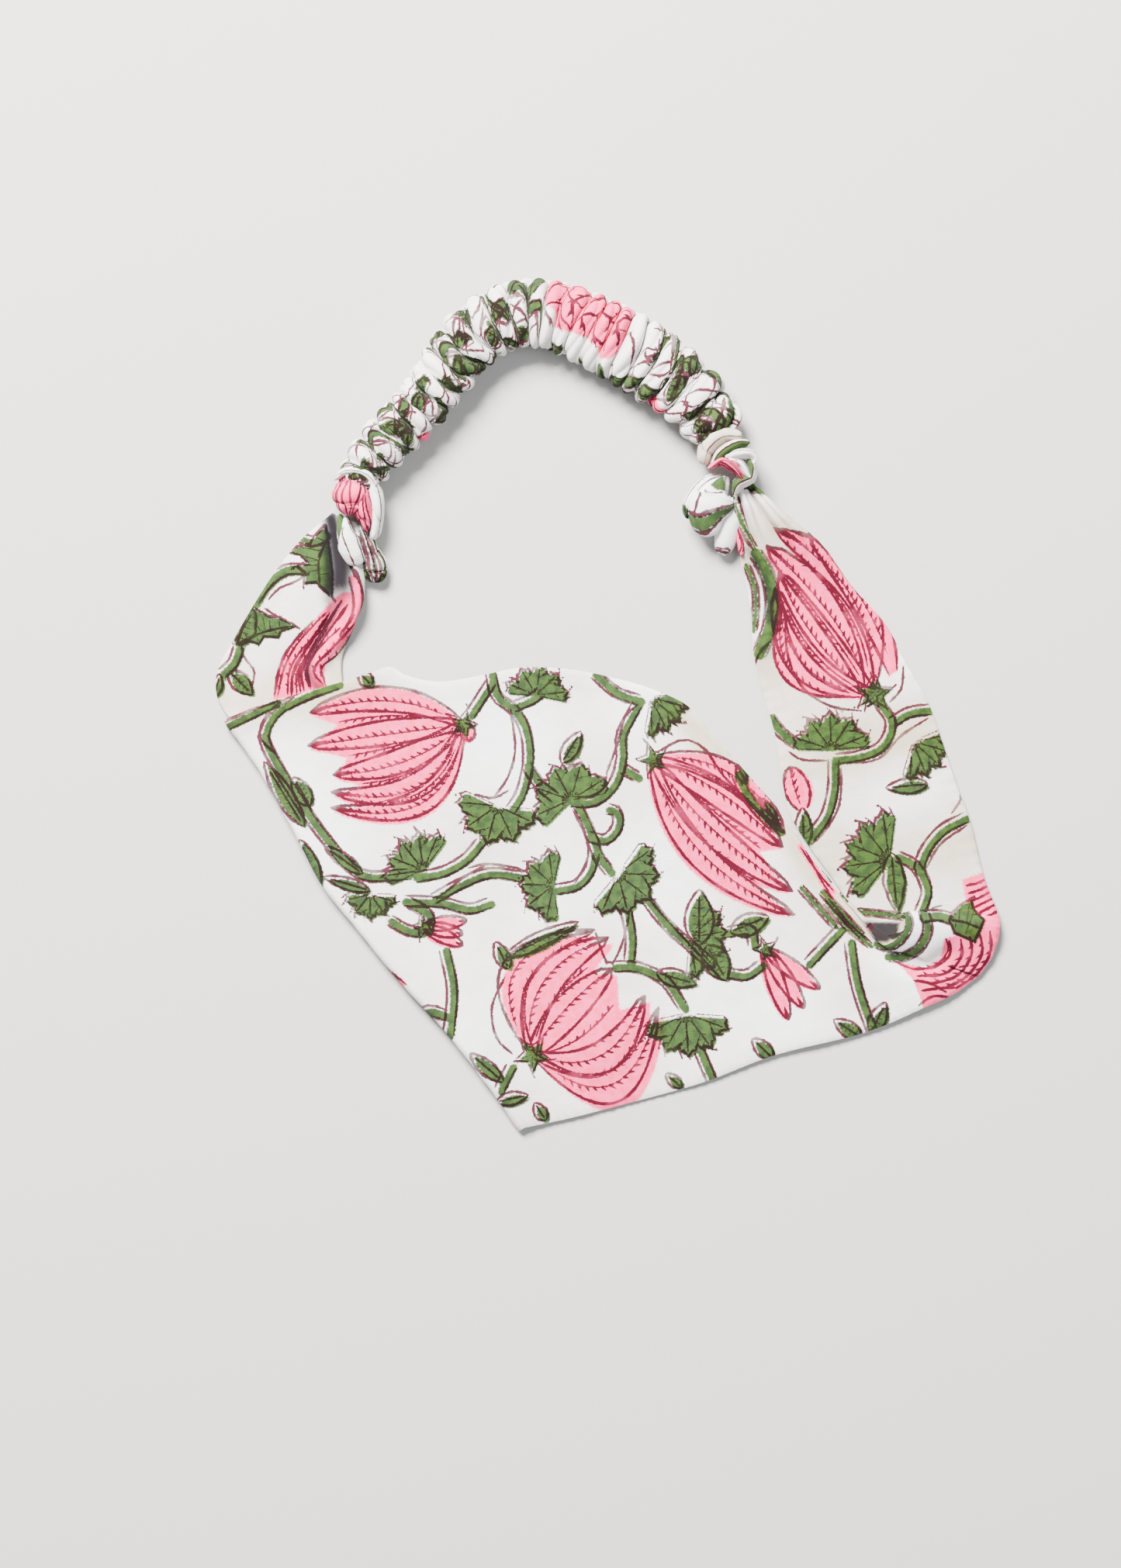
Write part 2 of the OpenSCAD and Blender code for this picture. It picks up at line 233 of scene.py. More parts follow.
def band_surface():
    """Middle surface of the band as rows x columns x 3, with the first row of each stretch.

    A row is the straight line from the inner hem to the outer hem. The fold is half a
    turn about the fold line, and the horn is the same line led over the roll."""
    v = np.linspace(0, 1, COLUMNS)
    fold = curve(FOLD, COLUMNS) - 1.2 * FOLD_OUT

    def ruled(inner, outer):
        return inner[:, None] * (1 - v)[None, :, None] + outer[:, None] * v[None, :, None]

    left = ruled(curve(LEFT_INNER, LEFT_ROWS), curve(LEFT_OUTER, LEFT_ROWS))
    ease = smoothstep(np.linspace(0, 1, LEFT_ROWS), 0.5, 1)[:, None, None]
    left = left + ease * (fold - left[-1])
    left_z = left_height(left[..., 0], left[..., 1], v[None, :])

    front = ruled(curve(FRONT_INNER, FRONT_ROWS), curve(FRONT_OUTER, FRONT_ROWS))
    ease = 1 - smoothstep(np.linspace(0, 1, FRONT_ROWS), 0, 0.3)[:, None, None]
    front = front + ease * (fold - front[0])
    front_z = front_height(front[..., 0], front[..., 1])

    places = np.linspace(0, len(HORN_INNER) - 1, HORN_ROWS)
    inner, outer = hermite(HORN_INNER, places), hermite(HORN_OUTER, places)
    horn = ruled(inner[:, :2], outer[:, :2])
    horn_z = inner[:, 2:] + (outer[:, 2:] - inner[:, 2:]) * v[None, :] ** 0.85

    right = ruled(curve(RIGHT_INNER, RIGHT_ROWS), curve(RIGHT_OUTER, RIGHT_ROWS))
    right_z = right_height(right[..., 0], right[..., 1], v[None, :])

    # The front and the right limb take up the horn's heights where they meet it
    ease = smoothstep(np.linspace(0, 1, FRONT_ROWS), 0.86, 1)[:, None]
    front_z = front_z + ease * (horn_z[0] - front_z[-1])
    ease = 1 - smoothstep(np.linspace(0, 1, RIGHT_ROWS), 0, 0.12)[:, None]
    right_z = right_z + ease * (horn_z[-1] - right_z[0])

    # The hollow in front of the horn
    upper = smoothstep(-np.arange(HORN_ROWS), -0.42 * HORN_ROWS, -0.3 * HORN_ROWS)[:, None]
    for plan, z, share in ((front, front_z, 1.0), (horn, horn_z, upper)):
        z -= share * 1.3 * np.exp(-(from_path(plan[..., 0], plan[..., 1], HORN_VALLEY) / 2.4) ** 2)

    turn = np.linspace(0, np.pi, FOLD_ROWS + 2)[1:-1]
    bend = fold[None] + 1.3 * FOLD_OUT * np.sin(turn)[:, None, None]
    bend_z = left_z[-1] + (front_z[0] - left_z[-1]) * (1 - np.cos(turn))[:, None] / 2

    plan = np.concatenate([left, bend, front, horn, right])
    z = np.concatenate([left_z, bend_z, front_z, horn_z, right_z])
    starts = np.cumsum([0, LEFT_ROWS, FOLD_ROWS, FRONT_ROWS, HORN_ROWS, RIGHT_ROWS])
    return np.concatenate([plan, z[..., None]], axis=2), starts


def grid_normals(grid):
    """Unit normals of a grid of points: the cross product of its two directions."""
    normal = np.cross(np.gradient(grid, axis=0), np.gradient(grid, axis=1))
    return normal / (np.linalg.norm(normal, axis=2)[..., None] + 1e-12)


# ---------------------------------------------------------------- the block print

class Print:
    """Dye and ink laid on the cloth, in millimetres of the cloth's own plane. A fill is a
    closed outline, or a path with a half width; a line is a path with a half width that
    may change along it."""

    def __init__(self):
        self.fills = []
        self.lines = []

    def fill(self, dye, outline, shift=(0, 0), half=None):
        self.fills.append((dye, np.asarray(outline, float) + shift, half))

    def line(self, path, half=0.38, ends=(0.5, 0.5)):
        path = np.asarray(path, float)
        t = np.linspace(0, 1, len(path))
        taper = np.minimum(1, ends[0] + t * 6) * np.minimum(1, ends[1] + (1 - t) * 6)
        self.lines.append((path, half * taper * (1 + 0.18 * np.sin(t * 23 + path[0, 0]))))

    def strokes(self, rows, half=0.38):
        """Ink lines: a row is a count of places and the points of a smooth curve."""
        for count, *points in rows:
            self.line(curve(points, count), half)

    def thorns(self, path, gap, size, side):
        """Short pointed ticks along a path, leaning towards its end."""
        lean = 0.7
        length = np.linalg.norm(np.diff(path, axis=0), axis=1).sum()
        count = max(2, int(length / gap))
        spots = curve(path, count + 2)[1:-1]
        along = np.gradient(spots, axis=0)
        along /= np.linalg.norm(along, axis=1)[:, None] + 1e-9
        across = np.stack([-along[:, 1], along[:, 0]], axis=1) * side
        for k in range(count):
            reach = size * (0.7 + 0.5 * abs(np.sin(k * 2.4)))
            tip = spots[k] + (across[k] * 0.8 + along[k] * lean) * reach
            self.lines.append((np.stack([spots[k], (spots[k] + tip) / 2, tip]),
                               np.array([0.5, 0.3, 0.03])))

    def thorned(self, path, half, gap, size, side):
        """An ink line with thorns along it."""
        self.line(path, half)
        self.thorns(path, gap, size, side)

    def vine(self, points, half=1.15, shift=(0.55, -0.45), edge=1.35):
        """A stem: a green band between two ink lines, a little out of register."""
        path = curve(points, max(8, int(3 * len(points))))
        self.fill("green", path, shift, half)
        for side in (1, -1):
            self.line(beside(path, side * edge), 0.38)

    def leaf(self, stem, tip, width, lobes=0):
        """A pointed leaf between two points: its half width follows a sine, with lobes on
        its edge, and its middle vein has ticks on both sides."""
        stem, tip = np.array(stem, float), np.array(tip, float)
        t = np.linspace(0, 1, 15)
        along = tip - stem
        across = np.array([-along[1], along[0]]) / (np.linalg.norm(along) + 1e-9)
        spine = stem + along * t[:, None]
        wide = width / 2 * np.sin(np.pi * t ** 0.85) ** 0.8
        wide = wide * (1 + (0.16 * np.abs(np.sin(lobes * np.pi * t)) if lobes else 0))
        top, bottom = spine + across * wide[:, None], spine - across * wide[:, None]
        self.fill("green", np.concatenate([top, bottom[::-1]]), (0.8, -0.7))
        self.line(top, 0.4)
        self.line(bottom, 0.4)
        self.line(spine[1:-2], 0.3)
        if width > 4:
            for k in range(3, 12, 2):
                for edge in (top, bottom):
                    tick = spine[k] * 0.45 + edge[min(k + 1, 14)] * 0.55
                    self.line(np.stack([spine[k], tick]), 0.24)

    def fan(self, base, aim, reach, spread):
        """A lobed leaf: pointed lobes round its base, each with a tooth on both sides, a
        vein to each tip with ticks beside it, and a ring of small arcs at the base."""
        lobes = 5
        base, aim, spread = np.array(base, float), np.radians(aim), np.radians(spread)
        tooth = np.array([[0.0, 0.82], [0.16, 0.95], [0.27, 0.91], [0.5, 1.04], [0.7, 0.93], [0.84, 0.93]])
        a = np.concatenate([tooth[:, 0] + k for k in range(lobes)] + [[lobes]]) / lobes - 0.5
        r = np.concatenate([tooth[:, 1]] * lobes + [[0.82]]) * reach * (1 + 0.12 * (np.abs(a) * 2) ** 4)
        turn = a * spread
        spin = np.array([[np.cos(aim), -np.sin(aim)], [np.sin(aim), np.cos(aim)]])
        edge = base + np.stack([r * np.cos(turn), r * np.sin(turn)], axis=1) @ spin.T
        self.fill("green", np.concatenate([base + (edge - base) * 1.04, [base]]), (0.5, -0.6))
        self.line(edge, 0.42)
        for end in (edge[0], edge[-1]):
            self.line(np.stack([end, end * 0.3 + base * 0.7]), 0.3)
        for k in range(3, len(edge), len(tooth)):
            tip = edge[k]
            vein = [base * 0.68 + tip * 0.32, base * 0.4 + tip * 0.6, base * 0.1 + tip * 0.9]
            self.line(np.stack(vein), 0.3)
            for beside_tip in (edge[k - 2], edge[k + 1]):
                self.line(np.stack([base * 0.45 + tip * 0.55, base * 0.22 + beside_tip * 0.78]), 0.2)
            for low, high in ((k - 3, k - 1), (k, k + 3)):
                ends = edge[[low, min(high, len(edge) - 1)]]
                arc = base + (ends - base) * 0.24
                self.line(np.stack([base + (ends[0] - base) * 0.08, arc[0], arc[1]]), 0.22)

    def serrated(self, outline, stem, tip):
        """A leaf with an outline of its own: its vein runs from stem to tip, and a side
        vein goes from it to each of the outline's points."""
        outline, stem, tip = np.array(outline, float), np.array(stem, float), np.array(tip, float)
        middle = outline.mean(axis=0)
        self.fill("green", middle + (outline - middle) * 1.05, (0.3, -0.4))
        self.line(np.concatenate([outline, outline[:1]]), 0.4, (1, 1))
        vein = curve([stem, (stem + tip) / 2 * 0.6 + middle * 0.4, tip], 12)
        self.line(vein, 0.34)
        for point in outline:
            root = vein[np.linalg.norm(vein - point, axis=1).argmin()]
            self.line(np.stack([root, root * 0.25 + point * 0.75]), 0.24)

    def spine(self, base, tip, bow):
        """Middle line of a petal, which bows to its left by bow, and its left direction."""
        base, tip = np.array(base, float), np.array(tip, float)
        t = np.linspace(0, 1, 17)
        along = tip - base
        across = np.array([-along[1], along[0]]) / (np.linalg.norm(along) + 1e-9)
        arc = (4 * t * (1 - t) * (1.12 - 0.24 * t))[:, None]
        return base + along * t[:, None] + across * bow * arc, across

    def petal(self, base, tip, bow, width, shift, ticks=True):
        """One petal: two edges that meet at its tip, and a vein with thorns."""
        middle, across = self.spine(base, tip, bow)
        t = np.linspace(0, 1, 17)
        wide = (width / 2 * np.sin(np.pi * np.clip(t * 0.93 + 0.05, 0, 1)) ** 0.62)[:, None]
        wide[-1] = 0
        top, bottom = middle + across * wide, middle - across * wide
        grown = 1.12 * wide + 0.35 * (1 - t)[:, None]
        outline = np.concatenate([middle + across * grown, (middle - across * grown)[::-1]])
        self.fill("pink", outline, shift)
        self.line(top, 0.42, (0.4, 1))
        self.line(bottom, 0.42, (0.4, 1))
        if ticks:
            vein = middle + across * wide * 0.15
            self.thorned(vein[2:-1], 0.2, 2.2, 1.5, -1)
            self.thorns(top[5:-1], 2.6, 1.2, -1)
        tail = curve(np.stack([middle[-4], middle[-2], middle[-1]]), 5)
        self.lines.append((tail, np.linspace(0.1, 0.9, 5) * np.array([1, 1, 1, 1, 0.5])))

    def tulip(self, base, petals, width, calyx, aim, shift=(-0.3, -0.8), trail=None):
        """A flower: petals that fan out from one base, the dye that fills them and the gaps
        between them as far as the notches, and a green star over their roots."""
        spines = [self.spine(base, petal[:2], petal[2]) for petal in petals]
        centre = np.mean([line for line, _ in spines], axis=(0, 1))
        edges = []
        for line, across in (spines[0], spines[-1]):
            side = np.sign((line.mean(axis=0) - centre) @ across)
            swell = np.sin(np.pi * np.linspace(0.05, 1, 17)) ** 0.6
            edges.append(line + side * across * (width * 0.5 + 0.5) * swell[:, None])
        notches = []
        for (one, _), (two, _) in zip(spines[:-1], spines[1:]):
            gap = (one + two) / 2
            notches += [gap[13], two[-1]]
            self.line(gap[2:14], 0.27)
            self.thorns(gap[4:14], 2.4, 1.3, 1)
        self.fill("pink", np.concatenate([edges[0], np.array(notches[:-1]), edges[1][::-1]]), shift)
        for tip_x, tip_y, bow in petals:
            self.petal(base, (tip_x, tip_y), bow, width, shift)
        if trail is not None:
            end, bow = trail
            self.petal(base, end, bow, width * 0.6, shift, False)
        self.star(base, aim, calyx)

    def star(self, centre, aim, size):
        """A calyx: a star of five pointed sepals round a point, the first one towards aim."""
        centre = np.array(centre, float)
        turn = np.radians(aim) + np.linspace(0, 2 * np.pi, 11)[:-1]
        r = np.where(np.arange(10) % 2 == 0, size, size * 0.45)
        edge = centre + np.stack([np.cos(turn) * r, np.sin(turn) * r], axis=1)
        self.fill("green", edge, (0.4, -0.4))
        self.line(np.concatenate([edge, edge[:1]]), 0.3, (1, 1))
        for k in range(0, 10, 2):
            self.line(np.stack([centre, centre * 0.35 + edge[k] * 0.65]), 0.16)

    def bud(self, calyx, tips, width=3.6):
        """A half-open bud: a few short petals and a cup of green."""
        for tip in tips:
            self.petal(calyx, tip, 0, width, (-0.4, -0.5), False)
        self.star(calyx, 180, 3.2)

    def on_faces(self, corners):
        """Dye depths and the two nearest lines for each corner of each face.

        Dye depth is the distance inside the nearest fill's edge, negative outside. For a
        line it is the distance across it, signed, and the half width at that place."""
        centre = corners.mean(axis=1)
        count = len(centre)
        dye = {"pink": np.full((count, 4), -FAR), "green": np.full((count, 4), -FAR)}
        for name, shape, half in self.fills:
            reach = 2.0 + (half or 0)
            near = np.flatnonzero(np.all((centre > shape.min(axis=0) - reach)
                                         & (centre < shape.max(axis=0) + reach), axis=1))
            if len(near) == 0:
                continue
            spots = corners[near].reshape(-1, 2)
            if half is None:
                depth = depth_in_outline(spots, shape)
            else:
                depth = half - distance_to(spots, shape)
            dye[name][near] = np.maximum(dye[name][near], depth.reshape(-1, 4))
        best = np.full((count, 2), -1.2)
        ink = np.zeros((count, 2, 4, 2))
        ink[..., 1] = -FAR
        for path, half in self.lines:
            near = np.flatnonzero(np.all((centre > path.min(axis=0) - 1.3)
                                         & (centre < path.max(axis=0) + 1.3), axis=1))
            if len(near) == 0:
                continue
            a, ab = path[:-1], np.diff(path, axis=0)
            size = np.linalg.norm(ab, axis=1) + 1e-9
            rel = centre[near][:, None] - a
            t = np.clip((rel * ab).sum(axis=2) / size**2, 0, 1)
            gap = np.linalg.norm(rel - t[..., None] * ab, axis=2)
            seg = gap.argmin(axis=1)
            pick = np.arange(len(near))
            clear = (half[seg] + (half[seg + 1] - half[seg]) * t[pick, seg]) - gap[pick, seg]
            keep = clear > best[near, 1]
            near, seg, clear = near[keep], seg[keep], clear[keep]
            rel = corners[near] - a[seg][:, None]
            unit = (ab[seg] / size[seg][:, None])[:, None]
            run = (rel * unit).sum(axis=2) / size[seg][:, None]
            over = np.where(seg[:, None] == 0, np.maximum(-run, 0), 0)
            over = over + np.where(seg[:, None] == len(ab) - 1, np.maximum(run - 1, 0), 0)
            wide = half[seg][:, None] + (half[seg + 1] - half[seg])[:, None] * np.clip(run, 0, 1)
            row = np.stack([unit[..., 0] * rel[..., 1] - unit[..., 1] * rel[..., 0],
                            wide - over * size[seg][:, None]], axis=2)
            first = clear > best[near, 0]
            lead = near[first]
            ink[lead, 1], best[lead, 1] = ink[lead, 0], best[lead, 0]
            ink[lead, 0], best[lead, 0] = row[first], clear[first]
            rest = near[~first]
            ink[rest, 1], best[rest, 1] = row[~first], clear[~first]
        return {"dye": np.stack([dye["pink"], dye["green"]], axis=2),
                "ink_one": ink[:, 0], "ink_two": ink[:, 1]}


def distance_to(spots, path):
    """Distance of plan points from the nearest straight piece of a path."""
    best = np.full(len(spots), 1e9)
    for a, ab in zip(path[:-1], np.diff(path, axis=0)):
        t = np.clip(((spots - a) @ ab) / (ab @ ab + 1e-12), 0, 1)
        best = np.minimum(best, np.linalg.norm(spots - a - t[:, None] * ab, axis=1))
    return best


def depth_in_outline(spots, outline):
    """Distance inside a closed outline, negative outside: a point is inside if a line from
    it crosses the outline an odd number of times."""
    loop = np.concatenate([outline, outline[:1]])
    inside = np.zeros(len(spots), bool)
    for a, b in zip(loop[:-1], loop[1:]):
        if a[1] == b[1]:
            continue
        between = (a[1] > spots[:, 1]) != (b[1] > spots[:, 1])
        cut = a[0] + (spots[:, 1] - a[1]) / (b[1] - a[1]) * (b[0] - a[0])
        inside ^= between & (spots[:, 0] < cut)
    return np.where(inside, 1, -1) * distance_to(spots, loop)


def front_print():
    """The front: three open tulips among vines, buds and lobed leaves."""
    p = Print()
    p.tulip((-37, -5), [(-76, -2, -5), (-76.5, -10.5, -0.5), (-70, -18, 3), (-70.5, -22.5, 8.5),
                        (-70.5, -26.5, 11)], 6.4, 4.0, 0, trail=((-34.4, -9), 0))
    p.tulip((12, -14), [(46, -33, 6), (45.5, -36.5, 2), (48, -48, -3), (48.5, -54, -7.5)],
            6.6, 4.2, 180)
    p.tulip((-19, -90), [(-3, -58, 13), (0.5, -60, 7), (1.5, -68, 1), (10, -75, -9), (13.5, -78, -15)],
            8.2, 5.0, 200, shift=(1.5, -1.5))
    p.bud((-47, -57), [(-36, -55.5), (-37, -59), (-37, -62)])
    p.bud((41, -63), [(55, -73), (51, -78), (47, -81)], 4.4)
    for base, aim, reach, spread in (
            ((-18, 2.5), 82, 7.6, 190), ((11.5, 2), -40, 9.5, 120), ((-9, -24.5), 118, 9.6, 215),
            ((-28, -26), -105, 9.6, 200), ((-13.5, -46.5), 178, 8.6, 200), ((3, -43.5), -38, 10.2, 185),
            ((20.5, -79.5), -86, 10.6, 165), ((-60.5, -48.6), -92, 6.2, 182), ((-47, -42.6), 128, 9.6, 150),
            ((21.5, -60), -20, 9.5, 150)):
        p.fan(base, aim, reach, spread)
    for stem, tip, width in (
            ((24, -62), (24, -47.5), 7.5), ((26, -62), (31, -71), 7), ((32, -58.5), (42, -54.5), 5.6),
            ((13, -69), (23.5, -72), 4.6), ((-26, -65), (-7, -55.8), 4.2), ((-25, -68), (-28.6, -61), 4),
            ((-28, -102), (-20, -100.5), 3.4), ((-26.5, -97), (-35, -89.5), 3.6),
            ((19.5, -98.6), (15.4, -95), 3), ((-15.5, -107), (-18.5, -102.5), 3.4),
            ((-77.5, -31.5), (-88, -14.5), 4.4), ((-76, -26), (-80.5, -18.6), 4.6),
            ((-73.5, -47), (-78.6, -34.4), 4.2), ((-62.5, -43.4), (-72.4, -36.4), 3.4),
            ((-60.5, -47.8), (-72.6, -44.2), 3.2), ((-11.4, -15), (-6.4, -6.8), 4.2),
            ((43, -91), (37.6, -86), 4), ((68, -85), (72, -76.5), 4.4), ((66, -86), (58.6, -81), 4.2),
            ((-60.4, 5), (-63.6, 8.4), 3.6), ((36, -20), (33.6, -15.4), 2.4), ((43.8, -31), (40, -24), 3)):
        p.leaf(stem, tip, width)
    for route in (
            [(-29.8, 8.6), (-28, 2), (-24, -1), (-21, -6), (-20, -14), (-22, -23), (-24.5, -27)],
            [(-32, -35), (-36, -39.6), (-42, -43), (-49, -44.4)], [(-29.5, 6), (-33, 0.5), (-35, -2.5)],
            [(-24, -0.6), (-19, 1.5), (-16.5, 3.4)], [(-20.6, -15.4), (-17, -20.6), (-13, -24)],
            [(-9, -25), (-3, -24.8), (2, -20.4), (4, -14), (4, -8), (8, 0)],
            [(8.6, 1.2), (3, 3), (-3, 8)], [(4.4, -16.4), (8, -18.6)],
            [(-7.4, -26.4), (-5, -31), (-3, -36), (-2, -39), (1, -43)],
            [(-3, -38), (-4.4, -43), (-7.6, -46.4), (-13, -47.6)],
            [(-4.4, -34), (0, -34.6), (3, -31), (2.6, -27.6), (0.4, -26.8)],
            [(-21, -44.4), (-30, -43.4), (-38, -46.4), (-44.5, -50)],
            [(-30, -51), (-35, -52.6), (-42, -51), (-52, -50.4)],
            [(-51, -43.6), (-63, -43.6), (-72, -34.4), (-80, -23), (-86, -13), (-88, -8), (-85, -2),
             (-78, 2), (-69, 5.4)], [(-97, -5), (-91.5, -2.4), (-85, 0.8)],
            [(5.2, -53), (6.4, -60), (6, -66)], [(2, -67.4), (8, -67.6), (15, -71), (20, -78)],
            [(24, -89), (27.4, -97)], [(10.4, -50), (15, -56), (22, -62.4), (28, -67.4)],
            [(31, -69), (36, -69.6), (40, -67)], [(52, -66.6), (60.4, -57.6)],
            [(62.6, -61), (64.4, -72), (68.6, -84.4)], [(-41.6, -63), (-39.6, -73), (-40.4, -84.6)],
            [(-51, -50.6), (-45.6, -54.4), (-46, -58)], [(-55.6, -55.4), (-51, -58), (-47.6, -58.6)],
            [(-24.4, -93), (-27.4, -99)], [(31.4, -58.6), (37, -58), (38, -62)],
            [(33.6, -17.6), (36, -23), (40, -28), (44.6, -32.4)], [(-52, -83), (-46, -78.6), (-41, -80)]):
        p.vine(route)
    p.strokes((
        (14, (-84, -13.5), (-89, -8), (-86, -2), (-80, 2)),
        (10, (-98, -4.5), (-90, -1), (-82, 1.6)),
        (12, (-35.5, -42), (-31, -41), (-25, -41.6), (-20, -43)),
        (12, (-43.6, -50), (-36, -44), (-31, -41.4)),
        (12, (-24.6, -1), (-23.4, -12), (-25.4, -19), (-29, -24)),
        (12, (-8.6, -26), (-5.4, -33), (-4.6, -39), (-8, -46)),
        (8, (-34, -23), (-29, -24), (-25, -22)),
        (10, (0, -18), (3, -10), (5, -3), (8, 0)),
        (18, (12, -13), (20, -9), (25, -11), (30, -18), (38, -26), (45, -32)),
        (12, (11, -50), (20, -60), (30, -71)),
        (12, (-26, -70), (-29.4, -78), (-28, -86), (-24, -90)),
        (12, (6, -54), (4, -62), (1, -67), (-3, -58))))
    for path in ([(50, -36.5), (54, -42.5), (58.6, -48)], [(51.4, -37.5), (55, -44.5), (58, -49.5)]):
        p.fill("pink", curve(path, 8), (0, 0), 0.9)
        p.line(curve(path, 8), 0.3)
    for path in ([(50, -47), (55, -52.6), (59, -57)], [(55.4, -48), (60, -53), (66, -59.4)],
                 [(56.6, -50.6), (62, -57), (68, -62)]):
        p.vine(path, 0.7, (0.3, -0.2), 0.9)
    p.fill("pink", curve([(-69, -55), (-60, -65), (-52, -71.6)], 10), (0, 0), 0.8)
    p.line(curve([(-69, -54.4), (-60, -64.2), (-51, -72)], 12), 0.28)
    # The horn: green rings round its mouth, then the folded tulip's pink
    for ring, half in (([(76, -52), (77.4, -56.6), (75.6, -60), (72.4, -62.2), (69.6, -61.6)], 0.9),
                       ([(81, -52), (82.4, -57.6), (80.6, -62), (77, -64.6), (72.6, -65)], 1.1)):
        p.vine(ring, half, (0, 0), half + 0.15)
    p.fill("pink", [(86.6, -60), (90, -59), (96, -56), (99, -52), (104, -52), (104, -66), (97, -73),
                    (88, -79), (82, -79), (79, -71), (74, -65.8), (82, -67.6), (86, -65)])
    p.line(curve([(74, -66), (80, -68.2), (85.6, -66.6), (88, -62.6), (87, -59.6)], 18), 0.3)
    p.serrated(HORN_LEAF, *HORN_VEIN)
    p.vine(HORN_STALK)
    for points in (((88, -60.4), (88.6, -64), (85, -67.4), (78.6, -68.2)),
                   ((91, -60), (91.4, -64.6), (87.6, -69), (80, -70)),
                   ((93.4, -59.4), (94, -64), (90.4, -69.6), (83, -72)),
                   ((96, -58.6), (96.6, -64), (92.6, -70), (86, -73.4)),
                   ((98.6, -58), (98.8, -63.6), (95.6, -69), (90, -73))):
        p.thorned(curve(points, 16), 0.42, 3.0, 1.6, -1)
    p.strokes(((9, (79, -71), (83, -71.6), (87.6, -74)), (9, (81, -73.6), (85, -73), (90, -72.8)),
               (9, (80.4, -77.4), (84, -75), (89, -75.4))), 0.4)
    return p


def right_print():
    """The right limb: a tulip that points to the knot, a bud and three leaves."""
    p = Print()
    p.tulip((68, 3), [(43.4, 45.4, -9), (41.2, 40.8, -4), (44.4, 34, 2), (43.5, 30, 7)], 8.8, 4.4, 300,
            shift=(-0.4, -0.3))
    p.petal((74, 8), (52, 44), -3.5, 7, (0, 0))
    p.petal((62, 2.5), (45, 26), 7.5, 6, (0, 0))
    p.star((69.5, 3), 90, 4.6)
    p.fan((58, -11.5), 92, 9.4, 175)
    p.fan((79, -9.4), -42, 9.2, 130)
    p.fan((73, -40), 158, 12, 150)
    p.leaf((83, -20.4), (72, -21.4), 4)
    p.leaf((73.5, -38), (75, -53.4), 5, lobes=3)
    p.leaf((51, -36.8), (50.6, -26.4), 4.4)
    p.petal((50.8, -27), (47.4, -16), 0, 6.4, (0.4, 0))
    for route in ([(70, 1), (73.4, -4.6), (71, -10.6), (65, -13.2), (59, -14)],
                  [(58.6, -14), (58.4, -22), (56.4, -29), (52.6, -34)],
                  [(73.6, -4.6), (78, -2), (83.4, -1.2)], [(42, -3), (45, -7), (49.4, -10.4)],
                  [(92.6, -29), (86.4, -32.4), (82, -38), (80.8, -42), (82.6, -48), (80.6, -54)],
                  [(75, -39), (79, -41), (81.4, -44)], HORN_STALK,
                  [(32, 56.6), (36, 56.8), (40, 55)]):
        p.vine(route)
    p.vine([(32.8, 53), (34.2, 48), (36.2, 43.6), (38.4, 40)], 0.5, (0, 0), 0.9)
    p.vine([(38.4, 39), (41, 34.6), (42.8, 28), (42.2, 20), (39.4, 13)], 1.5, (0, 0), 1.7)
    p.vine([(36.2, 36), (38.4, 30), (38.6, 24), (38, 19)], 0.7, (0, 0), 0.9)
    p.strokes((
        (14, (60, -15), (70, -14), (76, -8), (83, -3.4)),
        (12, (60.6, -16), (60, -26), (56, -33), (53, -36)),
        (14, (46, 22), (47, 12), (51, 4), (58, -0.4), (66, -1.6)),
        (8, (76.6, 10), (76, 4), (73, 0.6)),
        (8, (47, -12), (50, -14), (57, -14.4)),
        (8, (93, -31), (86, -36), (82.6, -42)),
        (8, (90.4, -18), (91.4, -24), (89, -28)),
        (10, (37.6, 9), (40, 14), (43.6, 18), (44, 25))))
    # Under the horn: the folded tulip's pink, the cut leaf and a vine
    p.fill("pink", [(91.6, -45), (97.6, -43), (103, -55), (103, -62), (94, -60), (93, -53)])
    for k in range(8):
        y = -44.6 - 2.0 * k
        p.line(curve([(92.6 + 0.4 * k, y - 2), (96, y - 1.2), (101, y + 1.6)], 8), 0.4)
    p.serrated(HORN_LEAF, *HORN_VEIN)
    p.vine([(64.6, -53.2), (70, -53.8), (76.6, -54.6)], 0.7, (0, 0), 0.85)
    return p


